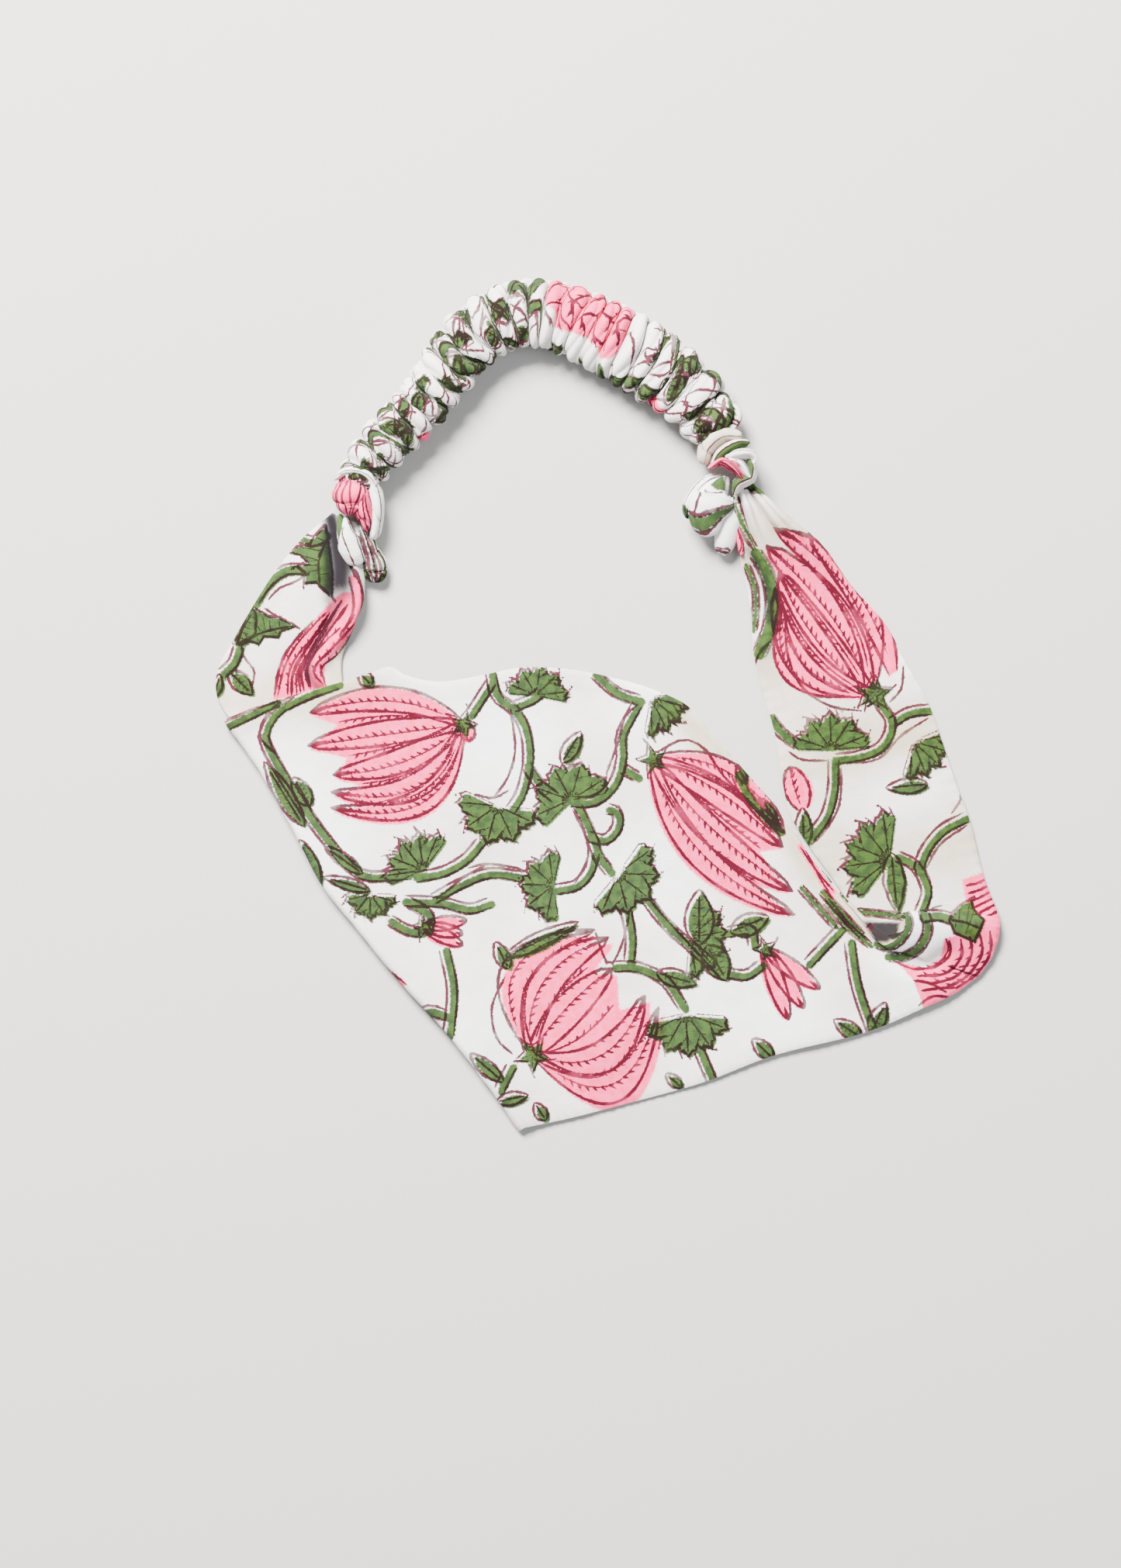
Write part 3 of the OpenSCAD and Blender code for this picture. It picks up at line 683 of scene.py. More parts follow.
def left_print():
    """The inside of the cloth where it shows at the left: leaves along the hem and a tulip
    folded into the pleat."""
    p = Print()
    p.serrated([(-72.4, 46.4), (-75, 43.4), (-76, 41.4), (-79.6, 40.8), (-82, 39.4), (-78.6, 38.4),
                (-77, 36.8), (-79.4, 35.6), (-77.4, 34), (-77.6, 31.2), (-74.6, 31.6), (-72.8, 29.6),
                (-70.6, 27.6), (-70.6, 34), (-71.4, 40)], (-71.4, 44), (-73.6, 31))
    p.vine([(-76, 34.6), (-82, 34.8), (-87, 31.6), (-90.6, 26.6)], 1.5)
    p.serrated([(-95, 15.6), (-93.6, 20), (-92, 25.6), (-88.6, 24), (-86.6, 22.8), (-84, 22.6),
                (-79.8, 20.2), (-83.6, 19), (-84.4, 17.4), (-88, 17.6), (-89.4, 15.6), (-92.4, 16.6)],
               (-94.6, 16), (-81.5, 20.2))
    p.leaf((-96, 15.6), (-90.6, 24.6), 6, lobes=3)
    p.vine([(-94.6, 15), (-96, 11), (-99, 8)], 1.3)
    p.leaf((-97, 8.6), (-91, 2.6), 4.6)
    p.leaf((-101, 2), (-99.4, 8), 3)
    p.vine([(-79.6, 43.4), (-75, 42), (-72, 44)], 0.9)
    p.strokes(((10, (-87, 27), (-84, 30), (-80, 31.6), (-76, 34)),
               (10, (-88, 25), (-84, 22.4), (-79.6, 20.4))))
    p.line(curve([(-94, 15.4), (-93, 12), (-90.6, 8.6), (-91.4, 4)], 10), 0.34)
    p.fill("pink", [(-86, 1), (-85, 7), (-83.6, 12), (-80, 17), (-75, 22), (-71.6, 26), (-68, 29),
                    (-64, 29), (-65, 20), (-72, 12), (-73, 3), (-77, 2)])
    p.strokes(((18, (-85.4, 2), (-84.2, 9), (-82, 14), (-75.4, 21.6)),
               (18, (-81, 2.4), (-80.6, 8), (-78, 13.4), (-71, 24)),
               (18, (-78.6, 3), (-79, 8), (-76.6, 13), (-68, 27)),
               (18, (-76, 4), (-77, 9), (-74.6, 14), (-66, 26))), 0.46)
    for points in (
            ((-84.6, 2), (-83, 9), (-80, 15), (-72, 24)), ((-82, 2.4), (-81.4, 9), (-78, 14.6), (-73, 19.6)),
            ((-79.6, 2.6), (-79.6, 8), (-77.6, 12), (-73, 18)),
            ((-77.6, 3), (-78.4, 8), (-76, 13), (-71.6, 20)),
            ((-76.4, 4), (-77.4, 9), (-73.6, 14.6), (-67.6, 20)),
            ((-72.6, 5), (-75, 9), (-70.4, 14.6), (-64.6, 21)),
            ((-72, 5), (-73.4, 9.4), (-69.4, 13), (-65, 19))):
        p.thorned(curve(points, 16), 0.32, 2.6, 1.2, 1)
    p.fill("pink", curve([(-73, 5), (-74.4, 9), (-69.6, 15.4), (-64.6, 22), (-63.6, 28), (-65, 32)], 16),
           (0, 0), 1.3)
    p.line(curve([(-67.6, 15), (-63.8, 21), (-62.6, 27), (-64, 33), (-66.6, 38)], 20), 0.42)
    p.line(curve([(-68.4, 17.6), (-65, 22.6), (-64.6, 28), (-66, 33)], 20), 0.4)
    return p


def back_print():
    """The cloth of the casing, laid out flat: leaves, vines and ink lines at random, one
    big tulip where the crown is, and a few small ones towards the hole."""
    p = Print()
    draw = np.random.RandomState(41)
    left, right = 184, 248
    for k in range(60):
        for row in (2, 10, 18, 27):
            x, y = 9.5 * k + draw.uniform(-4, 4), row + draw.uniform(-3, 3)
            kind, aim = draw.uniform(0, 1), draw.uniform(0, 360)
            if left - 6 < x < right + 4 and (row < 20 or kind > 0.6):
                continue
            if kind < 0.3:
                p.fan((x, y), aim, draw.uniform(4.5, 7), draw.uniform(130, 220))
            elif kind < 0.52:
                p.vine([(x - 7, y - 6), (x - 2, y + 2), (x + 3, y - 1), (x + 8, y + 7)], 1.3)
            elif kind < 0.7:
                p.leaf((x, y), (x + 7 * np.cos(aim), y + 7 * np.sin(aim)), 4.4)
            p.line(curve([(x - 8, y + 5), (x - 1, y - 3), (x + 5, y + 4), (x + 11, y - 2)], 14), 0.3)
    p.fill("pink", [(left, -30), (right, -30), (right + 3, 12), (right - 8, 16), (right - 22, 13),
                    (left + 16, 14), (left + 4, 8)])
    for k in range(13):
        x = left + 1 + 5.2 * k
        p.thorned(curve([(x, -6), (x + 3, 2), (x - 1, 8), (x + 4, 14)], 16), 0.32, 2.2, 1.4, 1)
    for y in (0.5, 5.5, 10.5):
        p.line(curve([(left + 12 * k, y + 2.4 * (-1) ** k) for k in range(6)], 40), 0.3)
    p.fan((left - 5, 9), 200, 7, 190)
    p.vine([(left - 14, 4), (left - 8, 12), (left - 3, 10), (left - 1, 18)], 1.2)
    for x, y in ((162, 18), (292, 21), (60, 21)):
        p.fill("pink", [(x - 4, y - 4), (x + 5, y - 3), (x + 6, y + 6), (x - 5, y + 6)])
        p.line(curve([(x - 3, y - 3), (x, y + 1), (x + 4, y + 4)], 8), 0.3)
    return p


# ---------------------------------------------------------------- meshes

def face_corners(values, flip):
    """Values at the four corners of each square of a grid, in the faces' own order."""
    parts = [values[:-1, :-1], values[1:, :-1], values[1:, 1:], values[:-1, 1:]]
    if flip:
        parts.reverse()
    return np.stack(parts, axis=2).reshape(-1, 4, values.shape[2])


def grid_faces(rows, cols, ring, first, flip):
    """Squares of a grid of points, the last column joined to the first if it is a ring."""
    i, j = np.meshgrid(np.arange(rows - 1), np.arange(cols if ring else cols - 1), indexing="ij")
    k = (j + 1) % cols
    parts = [i * cols + j, (i + 1) * cols + j, (i + 1) * cols + k, i * cols + k]
    if flip:
        parts.reverse()
    return (np.stack(parts, axis=2) + first).reshape(-1, 4)


class Sheets:
    """Grids of points gathered into one mesh, each with values for its faces' corners."""

    def __init__(self):
        self.points, self.faces, self.maps, self.ends = [], [], [], []
        self.count = 0

    def add(self, grid, maps, ring=False, flip=False, caps=False):
        rows, cols = grid.shape[:2]
        self.faces.append(grid_faces(rows, cols, ring, self.count, flip))
        self.points.append(grid.reshape(-1, 3))
        self.maps.append(maps)
        if caps:
            ends = (np.arange(cols), np.arange(cols) + (rows - 1) * cols)
            self.ends += [[int(n) + self.count for n in (ends[0] if not flip else ends[0][::-1])],
                          [int(n) + self.count for n in (ends[1][::-1] if not flip else ends[1])]]
        self.count += rows * cols

    def finish(self, name, material):
        points = (np.concatenate(self.points) - LAYOUT_MIDDLE) * MM
        faces = np.concatenate(self.faces)
        mesh = bpy.data.meshes.new(name)
        mesh.from_pydata(points.tolist(), [], faces.tolist() + self.ends)
        spare = sum(len(end) for end in self.ends)
        for key in self.maps[0]:
            values = np.concatenate([m[key].reshape(-1, 2) for m in self.maps])
            values = np.concatenate([values, np.tile(SPARE[key], (spare, 1))])
            layer = mesh.uv_layers.new(name=key)
            layer.data.foreach_set("uv", values.astype(np.float32).ravel())
        mesh.materials.append(material)
        mesh.update()
        mesh.polygons.foreach_set("use_smooth", np.ones(len(mesh.polygons), bool))
        obj = bpy.data.objects.new(name, mesh)
        bpy.context.scene.collection.objects.link(obj)
        return obj


SPARE = {"cloth": (0, 0), "dye": (-FAR, -FAR), "ink_one": (0, -FAR), "ink_two": (0, -FAR),
         "shade": (0, 0)}


def printed(pattern, cloth, shade, flip):
    """The UV maps of a grid of cloth: where it lies in the cloth, its dye and ink there,
    and how warm and how deep in shade it is."""
    corners = face_corners(cloth, flip)
    maps = pattern.on_faces(corners)
    maps["cloth"] = corners
    maps["shade"] = face_corners(shade, flip)
    return maps


def joined_maps(parts):
    """Maps of neighbouring stretches of one grid, one after the other."""
    return {key: np.concatenate([part[key] for part in parts]) for key in parts[0]}


# ---------------------------------------------------------------- tubes of ruched cloth

# Centre line of the casing, from the left knot over the crown to the right knot, its half
# width at each of those points, and how high its middle lies
CASING_PATH = [(-64.6, 54), (-61.4, 61), (-55, 69), (-48.4, 75.4), (-41.4, 85), (-35, 93.4), (-27, 98.8),
               (-19, 100.4), (-11.2, 99), (-3.2, 95.6), (4.8, 91.6), (14, 85.4), (22, 79), (27.4, 72),
               (29.2, 67.4), (30.2, 63.2)]
CASING_HALF = [5.4, 6.6, 7.2, 7.4, 7.6, 8.4, 8.8, 9.0, 9.2, 9.6, 10.0, 10.2, 9.8, 9.2, 8.2, 5.2]
CASING_LEVEL = 6.2
# Half height of the casing, and the cloth tucked away in each of its folds
CASING_HALF_HEIGHT, CLOTH_IN_FOLD = 5.6, 8.0
# Width and thickness of the elastic
ELASTIC_WIDTH, ELASTIC_THICK = 8.0, 1.2
# Lowest that the cloth of a tube comes to the table
TABLE_GAP = 0.15


def rounded_ends(rows, share):
    """1 along a tube and a quarter circle down to a small opening at each end."""
    opening = 0.12
    t = np.linspace(0, 1, rows)
    edge = np.clip(np.minimum(t, 1 - t) / share, 0, 1)
    return np.maximum(np.sqrt(1 - (1 - edge) ** 2), opening)


def ruche(run, turn, fold, depth, seed, jump=0.0):
    """Folds of ruched cloth: how far it falls in below its outer surface, how far it is
    pushed along the tube, and how much cloth is tucked away up to there.

    Two rows of sharp valleys between round ridges lean and fork round the tube. A ridge
    overhangs the valley behind it, and each valley swallows a jump's length of cloth."""
    draw = np.random.RandomState(seed)
    a, b, c = draw.uniform(0, 6.28, 3)
    step = np.gradient(run[:, 0])[:, None]
    phase = 2 * np.pi * np.cumsum(step / fold, axis=0)
    lean = (0.9 * np.sin(turn + a + run / 30) + 0.5 * np.sin(2 * turn + b - run / 22)
            + 2.1 * ripples(run, turn * 6, 27, seed) + 0.7 * ripples(run, turn * 6, 11, seed + 3))
    main = phase + lean
    minor = phase * 1.7 + 1.5 * np.sin(turn * 2 + c) + 2.0 * ripples(run, turn * 6, 16, seed + 1)
    skewed = main + 0.55 * np.sin(main)
    one = np.abs(np.cos(skewed / 2)) ** 0.62
    two = np.abs(np.cos(minor / 2)) ** 0.8
    some = np.clip(0.8 + 0.45 * ripples(run, turn * 5, 19, seed + 2), 0.25, 1.4)
    fall = depth * some * (0.74 * (1 - one) + 0.26 * (1 - two))
    push = 0.14 * fold * np.sin(main) * some
    tucked = jump / (2 * np.pi) * (main - np.sin(main))
    return fall, push, tucked


def tube(path, half_width, half_height, rows, cols, ends, fall):
    """A closed tube along a curve: each ring is an ellipse across the curve, its half
    width to the side and its half height up, less what the folds take from it."""
    line = curve(path, rows)
    along = np.gradient(line, axis=0)
    along /= np.linalg.norm(along, axis=1)[:, None]
    side = np.stack([-along[:, 1], along[:, 0], np.zeros(rows)], axis=1)
    side /= np.linalg.norm(side, axis=1)[:, None]
    up = np.cross(along, side)
    turn = np.linspace(0, 2 * np.pi, cols, endpoint=False)[None, :]
    t = np.linspace(0, 1, rows)
    spots = np.linspace(0, 1, len(half_width))
    wide = np.interp(t, spots, half_width)
    high = np.interp(t, spots, np.broadcast_to(half_height, len(half_width)))
    close = rounded_ends(rows, ends)
    run = np.concatenate([[0], np.cumsum(np.linalg.norm(np.diff(line, axis=0), axis=1))])
    flat = np.zeros((rows, cols))
    drop, push, tucked = (flat, flat, flat) if fall is None else fall(run[:, None], turn)
    drop, push = drop * close[:, None], push * close[:, None]
    x = np.cos(turn) * ((wide * close)[:, None] - drop)
    y = np.sin(turn) * ((high * close)[:, None] - drop)
    grid = line[:, None] + side[:, None] * x[..., None] + up[:, None] * y[..., None]
    grid = grid + along[:, None] * push[..., None]
    grid[..., 2] = np.maximum(grid[..., 2], TABLE_GAP)
    tucked = np.concatenate([tucked, tucked[:, :1]], axis=1)
    around = np.concatenate([turn, [[2 * np.pi]]], axis=1)
    radius = wide.mean() * 0.5 + high.mean() * 0.5
    cloth = np.stack([run[:, None] + tucked, np.broadcast_to(around * radius, (rows, cols + 1))], axis=2)
    return grid, cloth, drop


def tube_shade(drop, warm, depth):
    """Warmth and painted shade of a tube: shade is painted where the folds go deep."""
    darkest = 0.55
    painted_shade = smoothstep(drop, depth * 0.3, depth * 0.95) * darkest
    painted_shade = np.concatenate([painted_shade, painted_shade[:, :1]], axis=1)
    return np.stack([np.full(painted_shade.shape, warm), painted_shade], axis=2)


def band_layers():
    """The two layers of the band, each half the cloth's gap from the middle surface, drawn
    together at the hems, with the seam allowance a little thicker and puckered."""
    middle, starts = band_surface()
    out = -grid_normals(middle)
    width = np.linalg.norm(middle[:, -1] - middle[:, 0], axis=1)[:, None]
    v = np.linspace(0, 1, COLUMNS)[None, :]
    from_hem = np.minimum(v, 1 - v) * width
    run = np.arange(len(middle))[:, None] * 0.62
    wave = np.cos(run * 1.9 + 1.5 * np.sin(run * 0.37) + 7 * (v > 0.5))
    pucker = PUCKER * wave * np.exp(-from_hem / 2.6)
    pucker = pucker + 0.06 * ripples(middle[..., 0], middle[..., 1], 7, 31)
    allowance = HEM_GAP * (1 - smoothstep(from_hem, 4.2, 5.2))
    gap = 0.05 + LAYER_GAP * smoothstep(from_hem, 0, 0.7) + allowance * smoothstep(from_hem, 0.4, 1.6)
    middle = middle + out * pucker[..., None]
    return middle, middle + out * gap[..., None], middle - out * gap[..., None], starts


def mouth_shade(grid):
    """Depth of shade on the low cloth inside the horn's mouth."""
    spots = grid[..., :2].reshape(-1, 2)
    depth = depth_in_outline(spots, np.array(HORN_MOUTH)).reshape(grid.shape[:2])
    return 0.97 * smoothstep(depth, -0.3, 0.7) * (grid[..., 2] < 4.8)


def glow(x, y, path, reach):
    """1 on a path and less beside it, as a bell curve of the distance over reach."""
    return np.exp(-(from_path(x, y, path) / reach) ** 2)


def band_face():
    """Printed cotton on the outside of the folded band."""
    middle, face, _, starts = band_layers()
    plan = middle[..., :2]
    x, y = plan[..., 0], plan[..., 1]
    left, fold, front, horn, _, end = starts
    under = plan * np.array([-1, 1]) + np.array([-52, -14])
    cut = horn + int(0.52 * HORN_ROWS)
    # Cream tint: along the inner hem at the left; along the inner hem towards the horn, where it is painted
    # shade; and over the whole right limb, where it is partly painted shade
    warm = 0.25 + 0.75 * glow(x, y, [(-96, -3), (-80, 1), (-66, 4)], 9)
    warm += 0.9 * glow(x, y, [(20, -3), (46, -32), (66, -57)], 5)
    warm += 0.3 * ripples(x, y, 40, 21)
    warm[cut:] = 0.75 + 0.35 * ripples(x[cut:], y[cut:], 32, 22)
    # Painted shade, near black: inside the horn's mouth and along the side fold on the right limb
    painted_shade = np.zeros(warm.shape)
    painted_shade[front:] = mouth_shade(face[front:])
    painted_shade[cut:] += 0.6 * glow(x[cut:], y[cut:], [(36.4, 40), (39.4, 35), (41.6, 29), (42, 22)], 1.0)
    shade = np.clip(np.stack([warm, painted_shade], axis=2), 0, 1)
    front_side, right_side = front_print(), right_print()
    maps = joined_maps([
        printed(front_side, under[left:fold + 1], shade[left:fold + 1], True),
        printed(front_side, plan[fold:cut + 1], shade[fold:cut + 1], True),
        printed(right_side, plan[cut:end], shade[cut:end], True)])
    sheets = Sheets()
    sheets.add(face, maps, flip=True)
    return sheets


def band_lining():
    """Printed cotton on the inside of the fold, seen on the limb at the left."""
    middle, _, lining, starts = band_layers()
    plan = middle[..., :2]
    left, _, front, horn, _, end = starts
    x, y = plan[..., 0], plan[..., 1]
    warm = 0.35 + 0.5 * glow(x, y, [(-99, 2), (-88, 3), (-78, 8)], 8)
    warm += 0.8 * smoothstep(x, -73, -69) * (1 - smoothstep(y, 18, 24))
    limb = y[:front]
    width = 1.2 + 2.9 * smoothstep(limb, 22, 29) - 1.3 * smoothstep(limb, 40, 47)
    # Painted shade, near black: down the pleat beside the left knot and inside the horn's mouth
    painted_shade = np.zeros(x.shape)
    painted_shade[:front] = np.exp(-(from_path(x, y, PLEAT)[:front] / width) ** 4)
    painted_shade[front:] = mouth_shade(lining[front:])
    painted_shade[:front] *= (0.72 + 0.27 * smoothstep(limb, 27, 31)) * smoothstep(limb, -4, 3)
    shade = np.clip(np.stack([warm, painted_shade], axis=2), 0, 1)
    inside = plan * np.array([-1, 1]) + np.array([6, -6])
    maps = joined_maps([
        printed(left_print(), plan[left:front + 1], shade[left:front + 1], False),
        printed(front_print(), inside[front:horn + 1], shade[front:horn + 1], False),
        printed(right_print(), plan[horn:end], shade[horn:end], False)])
    sheets = Sheets()
    sheets.add(lining, maps)
    return sheets


def plain_cloth(run, around):
    """Face corners of a plain tube's cloth: the run along it and the places round it."""
    shape = (len(run), len(around))
    return np.stack([np.broadcast_to(run[:, None], shape), np.broadcast_to(around[None], shape)], axis=2)


def hem_thread(edge_column, next_column):
    """Sewing thread just inside a hem, between the layers: a thin tube that weaves up and
    down, one stitch after the other. The columns are the hem's and the one beside it."""
    middle, _, _, _ = band_layers()
    edge, inner = middle[:, edge_column], middle[:, next_column]
    step = (inner - edge) / (np.linalg.norm(inner - edge, axis=1)[:, None] + 1e-9)
    line = (edge + step * HEM_INSET)[6:-6]
    run = np.concatenate([[0], np.cumsum(np.linalg.norm(np.diff(line, axis=0), axis=1))])
    line[:, 2] += 0.06 * np.sin(run * 2 * np.pi / STITCH)
    along = np.gradient(line, axis=0)
    along /= np.linalg.norm(along, axis=1)[:, None] + 1e-9
    side = np.cross(along, np.array([0.02, 0.03, 1.0]))
    side /= np.linalg.norm(side, axis=1)[:, None] + 1e-9
    up = np.cross(side, along)
    turn = np.linspace(0, 2 * np.pi, THREAD_SIDES, endpoint=False)
    grid = line[:, None] + THREAD_RADIUS * (side[:, None] * np.cos(turn)[None, :, None]
                                            + up[:, None] * np.sin(turn)[None, :, None])
    cloth = plain_cloth(run, np.linspace(0, 1, THREAD_SIDES + 1))
    sheets = Sheets()
    sheets.add(grid, {"cloth": face_corners(cloth, False)}, ring=True, caps=True)
    return sheets


def ruched_casing():
    """Tube of printed cotton, gathered over the elastic to less than half its length. Its
    folds change in spacing and depth at the crown and again at the right flank."""
    def folds(run, turn):
        to_crown, to_right = smoothstep(run, 60, 74), smoothstep(run, 100, 114)
        fold = 5.0 - 0.8 * to_crown + 3.4 * to_right
        depth = 3.6 - 0.2 * to_crown + 1.6 * to_right
        return ruche(run, turn, fold, depth, 51, CLOTH_IN_FOLD)

    path = [(x, y, CASING_LEVEL) for x, y in CASING_PATH]
    grid, cloth, drop = tube(path, CASING_HALF, CASING_HALF_HEIGHT, 620, 132, 0.03, folds)
    sheets = Sheets()
    sheets.add(grid, printed(back_print(), cloth, tube_shade(drop, 0.3, 4.0), True), True, True)
    return sheets


def elastic_strap():
    """Flat woven elastic in the middle of the casing, with a rib every 2 mm."""
    rib_gap, sides = 2, 28
    line = curve([(x, y, CASING_LEVEL) for x, y in CASING_PATH], 420)
    run = np.concatenate([[0], np.cumsum(np.linalg.norm(np.diff(line, axis=0), axis=1))])
    along = np.gradient(line, axis=0)
    along /= np.linalg.norm(along, axis=1)[:, None]
    side = np.stack([-along[:, 1], along[:, 0], np.zeros(len(line))], axis=1)
    turn = np.linspace(0, 2 * np.pi, sides, endpoint=False)
    flat = np.sign(np.cos(turn)) * np.abs(np.cos(turn)) ** 0.4 * ELASTIC_WIDTH / 2
    tall = np.sign(np.sin(turn)) * np.abs(np.sin(turn)) ** 0.6 * ELASTIC_THICK / 2
    rib = 1 + 0.08 * np.cos(run * 2 * np.pi / rib_gap)[:, None]
    grid = line[:, None] + side[:, None] * flat[None, :, None]
    grid[..., 2] += tall[None] * rib
    cloth = plain_cloth(run, np.linspace(0, 2 * ELASTIC_WIDTH, sides + 1))
    sheets = Sheets()
    sheets.add(grid, {"cloth": face_corners(cloth, True)}, True, True, True)
    return sheets


def add_roll(sheets, pattern, path, half_width, half_height, rows, cols, fold, warm=0.2, ends=0.12):
    """One roll of printed cloth, added to a mesh. fold is the folds' spacing, depth and
    seed, or None for a smooth roll."""
    fall = None if fold is None else (lambda run, turn: ruche(run, turn, *fold))
    grid, cloth, drop = tube(path, half_width, half_height, rows, cols, ends, fall)
    depth = 1.0 if fold is None else fold[1]
    sheets.add(grid, printed(pattern, cloth, tube_shade(drop, warm, depth), True), True, True, True)


def knot_print(gap, lines, seed):
    """Pink cloth of a knot, with uneven wavering lines along it."""
    p = Print()
    draw = np.random.RandomState(seed)
    p.fill("pink", [(-5, -5), (80, -5), (80, 80), (-5, 80)])
    for k in range(lines):
        spots = [(x, gap * (k + 0.6) + draw.uniform(-0.62, 0.62) * gap) for x in np.arange(-4, 46, 3.1)]
        route = curve(spots, 50)
        p.line(route, 0.3)
        if k % 3 == 0:
            p.thorns(route, 3.4, 1.1, 1)
    return p


def striped_print(stripes, lines):
    """White cloth with green stripes and ink lines along it at given places."""
    p = Print()
    for y, half in stripes:
        p.vine([(-4, y), (10, y + 0.8), (22, y - 0.5), (40, y)], half, (0.2, -0.3), half + 0.25)
    for y in lines:
        p.line(curve([(-4, y), (8, y + 0.7), (20, y - 0.5), (40, y)], 18), 0.24)
    return p


def left_knot_wrap():
    """The left knot: two pink ruched wraps, and white folds of cloth beside and over them."""
    sheets = Sheets()
    add_roll(sheets, knot_print(1.6, 20, 5), [(-63.8, 58.2, 6.2), (-64.8, 54, 6.6), (-65.6, 48.6, 6.2)],
             [4.6, 5.2, 5.6, 5.0, 3.4], 5.8, 120, 96, (4.4, 1.5, 81), ends=0.2)
    add_roll(sheets, knot_print(1.5, 12, 6), [(-61.8, 55.4, 7.4), (-62.2, 50.6, 6.8), (-60.9, 45, 4.8)],
             [2.0, 2.8, 2.3, 1.3], 4.6, 80, 52, (5.6, 0.6, 83), ends=0.2)
    add_roll(sheets, striped_print([], [2.2, 9]),
             [(-61.8, 58.6, 6.2), (-59.4, 54.6, 6.4), (-58.7, 49, 5.6), (-59.5, 43.4, 3.6)],
             [1.6, 2.1, 1.9, 1.5], 4.2, 90, 48, (7.0, 0.5, 85), 0.1)
    add_roll(sheets, striped_print([], [4]),
             [(-69.2, 57.8, 5.8), (-66, 59.6, 6.6), (-61.6, 58.8, 6.6), (-58.6, 55.6, 5.8)],
             [0.9, 1.5, 1.5, 1.1], 4.8, 80, 40, (5.0, 0.4, 86), 0.1)
    return sheets


def right_knot_wrap():
    """The right knot: a thin pink wrap between white and green swirls of the casing's end.
    Each roll has its print, path, half widths, half height, warmth and seed."""
    rolls = (
        (striped_print([], [6]), [(24.8, 61.6, 5.8), (26, 66, 6.2), (29.6, 68.8, 6.4), (34.6, 68.6, 6)],
         [1.6, 2.6, 2.6, 1.6], 5.0, 0.9, 87),
        (striped_print([(6, 2.2)], [1.5, 10.5]),
         [(27.4, 60.8, 6.2), (29.4, 64, 7), (32.8, 66.2, 7), (36.4, 66.8, 6)],
         [1.3, 1.9, 1.9, 1.3], 4.8, 0.5, 88),
        (striped_print([], [3]), [(30.4, 63, 6.6), (33.6, 64, 7.2), (36.6, 63.8, 6.6), (37.2, 61.6, 6)],
         [1.2, 1.7, 1.6, 1.1], 4.8, 0.3, 89),
        (striped_print([(6, 1.9)], [9.5]),
         [(36.6, 62.8, 6.2), (37.4, 60.4, 6.4), (36.8, 58, 6.4), (34.2, 56.6, 6.4), (32.8, 54.4, 5.4)],
         [1.1, 1.4, 1.6, 1.9, 1.2], 4.6, 0.3, 90),
        (knot_print(1.9, 8, 7), [(26.9, 60.8, 6.6), (29.6, 62.2, 7.6), (32, 61, 7.8), (33.9, 58.8, 6.6)],
         [0.8, 1.4, 1.4, 1.0], 4.8, 0.1, 91),
        (striped_print([], [2.5]), [(31, 62.6, 7.2), (34, 61.6, 7.6), (36, 59, 6.8)],
         [0.8, 1.4, 1.1], 4.6, 0.1, 92))
    sheets = Sheets()
    for pattern, path, wide, high, warm, seed in rolls:
        add_roll(sheets, pattern, path, wide, high, 90, 48, (6.0, 0.5, seed), warm)
    return sheets


def left_tail():
    """The left tail: a creased white loop over a narrower folded end with close stripes."""
    sheets = Sheets()
    loop = Print()
    loop.fill("green", [(-2, 5.6), (3.4, 5.2), (4, 6.6), (3, 8.6), (-2, 9)])
    loop.line(curve([(2, 4.6), (5, 5.2), (9, 5.0), (12.4, 5.6)], 14), 0.22)
    loop.line(curve([(3.6, 7.2), (5, 7.6), (6.6, 7.2), (8.6, 7.8)], 12), 0.4)
    loop.line(curve([(0, 2.6), (6, 2.0), (11, 2.6), (15, 4.4)], 14), 0.28)
    loop.vine([(0, 1.0), (6, 0.4), (12, 1.0), (16, 2.4)], 0.6, (0, 0), 0.8)
    add_roll(sheets, loop, [(-67.2, 48.2, 6.0), (-66.6, 44, 6.2), (-65.2, 39.6, 5.6), (-63.8, 36.6, 4.4)],
             [1.2, 2.4, 3.2, 3.3, 2.6], [2.4, 3.0, 3.2, 2.8, 1.8], 110, 72, (12.0, 0.5, 101), 0.05)
    end = striped_print([(1.0, 0.5), (3.2, 0.35), (5.4, 0.5)], [2.0, 4.2, 6.4])
    end.fill("green", [(12.4, -1), (18, -1), (18, 2.4), (15, 3), (13, 2)])
    end.fill("green", [(12, 4.4), (15.5, 4.6), (18, 6.6), (12.6, 7.4)])
    for x in (11.6, 13, 14.4, 15.6):
        end.line(curve([(x, -1), (x + 0.7, 2), (x - 0.3, 4.6), (x + 0.6, 8)], 12), 0.26)
    add_roll(sheets, end, [(-63.2, 46, 5.0), (-61, 41, 4.6), (-59.4, 35.6, 3.6), (-59.6, 31.6, 2.6)],
             [1.0, 1.9, 2.4, 3.6, 2.6], [2.0, 2.4, 2.2, 2.0, 1.2], 100, 64, (4.6, 0.8, 103), 0.3)
    return sheets


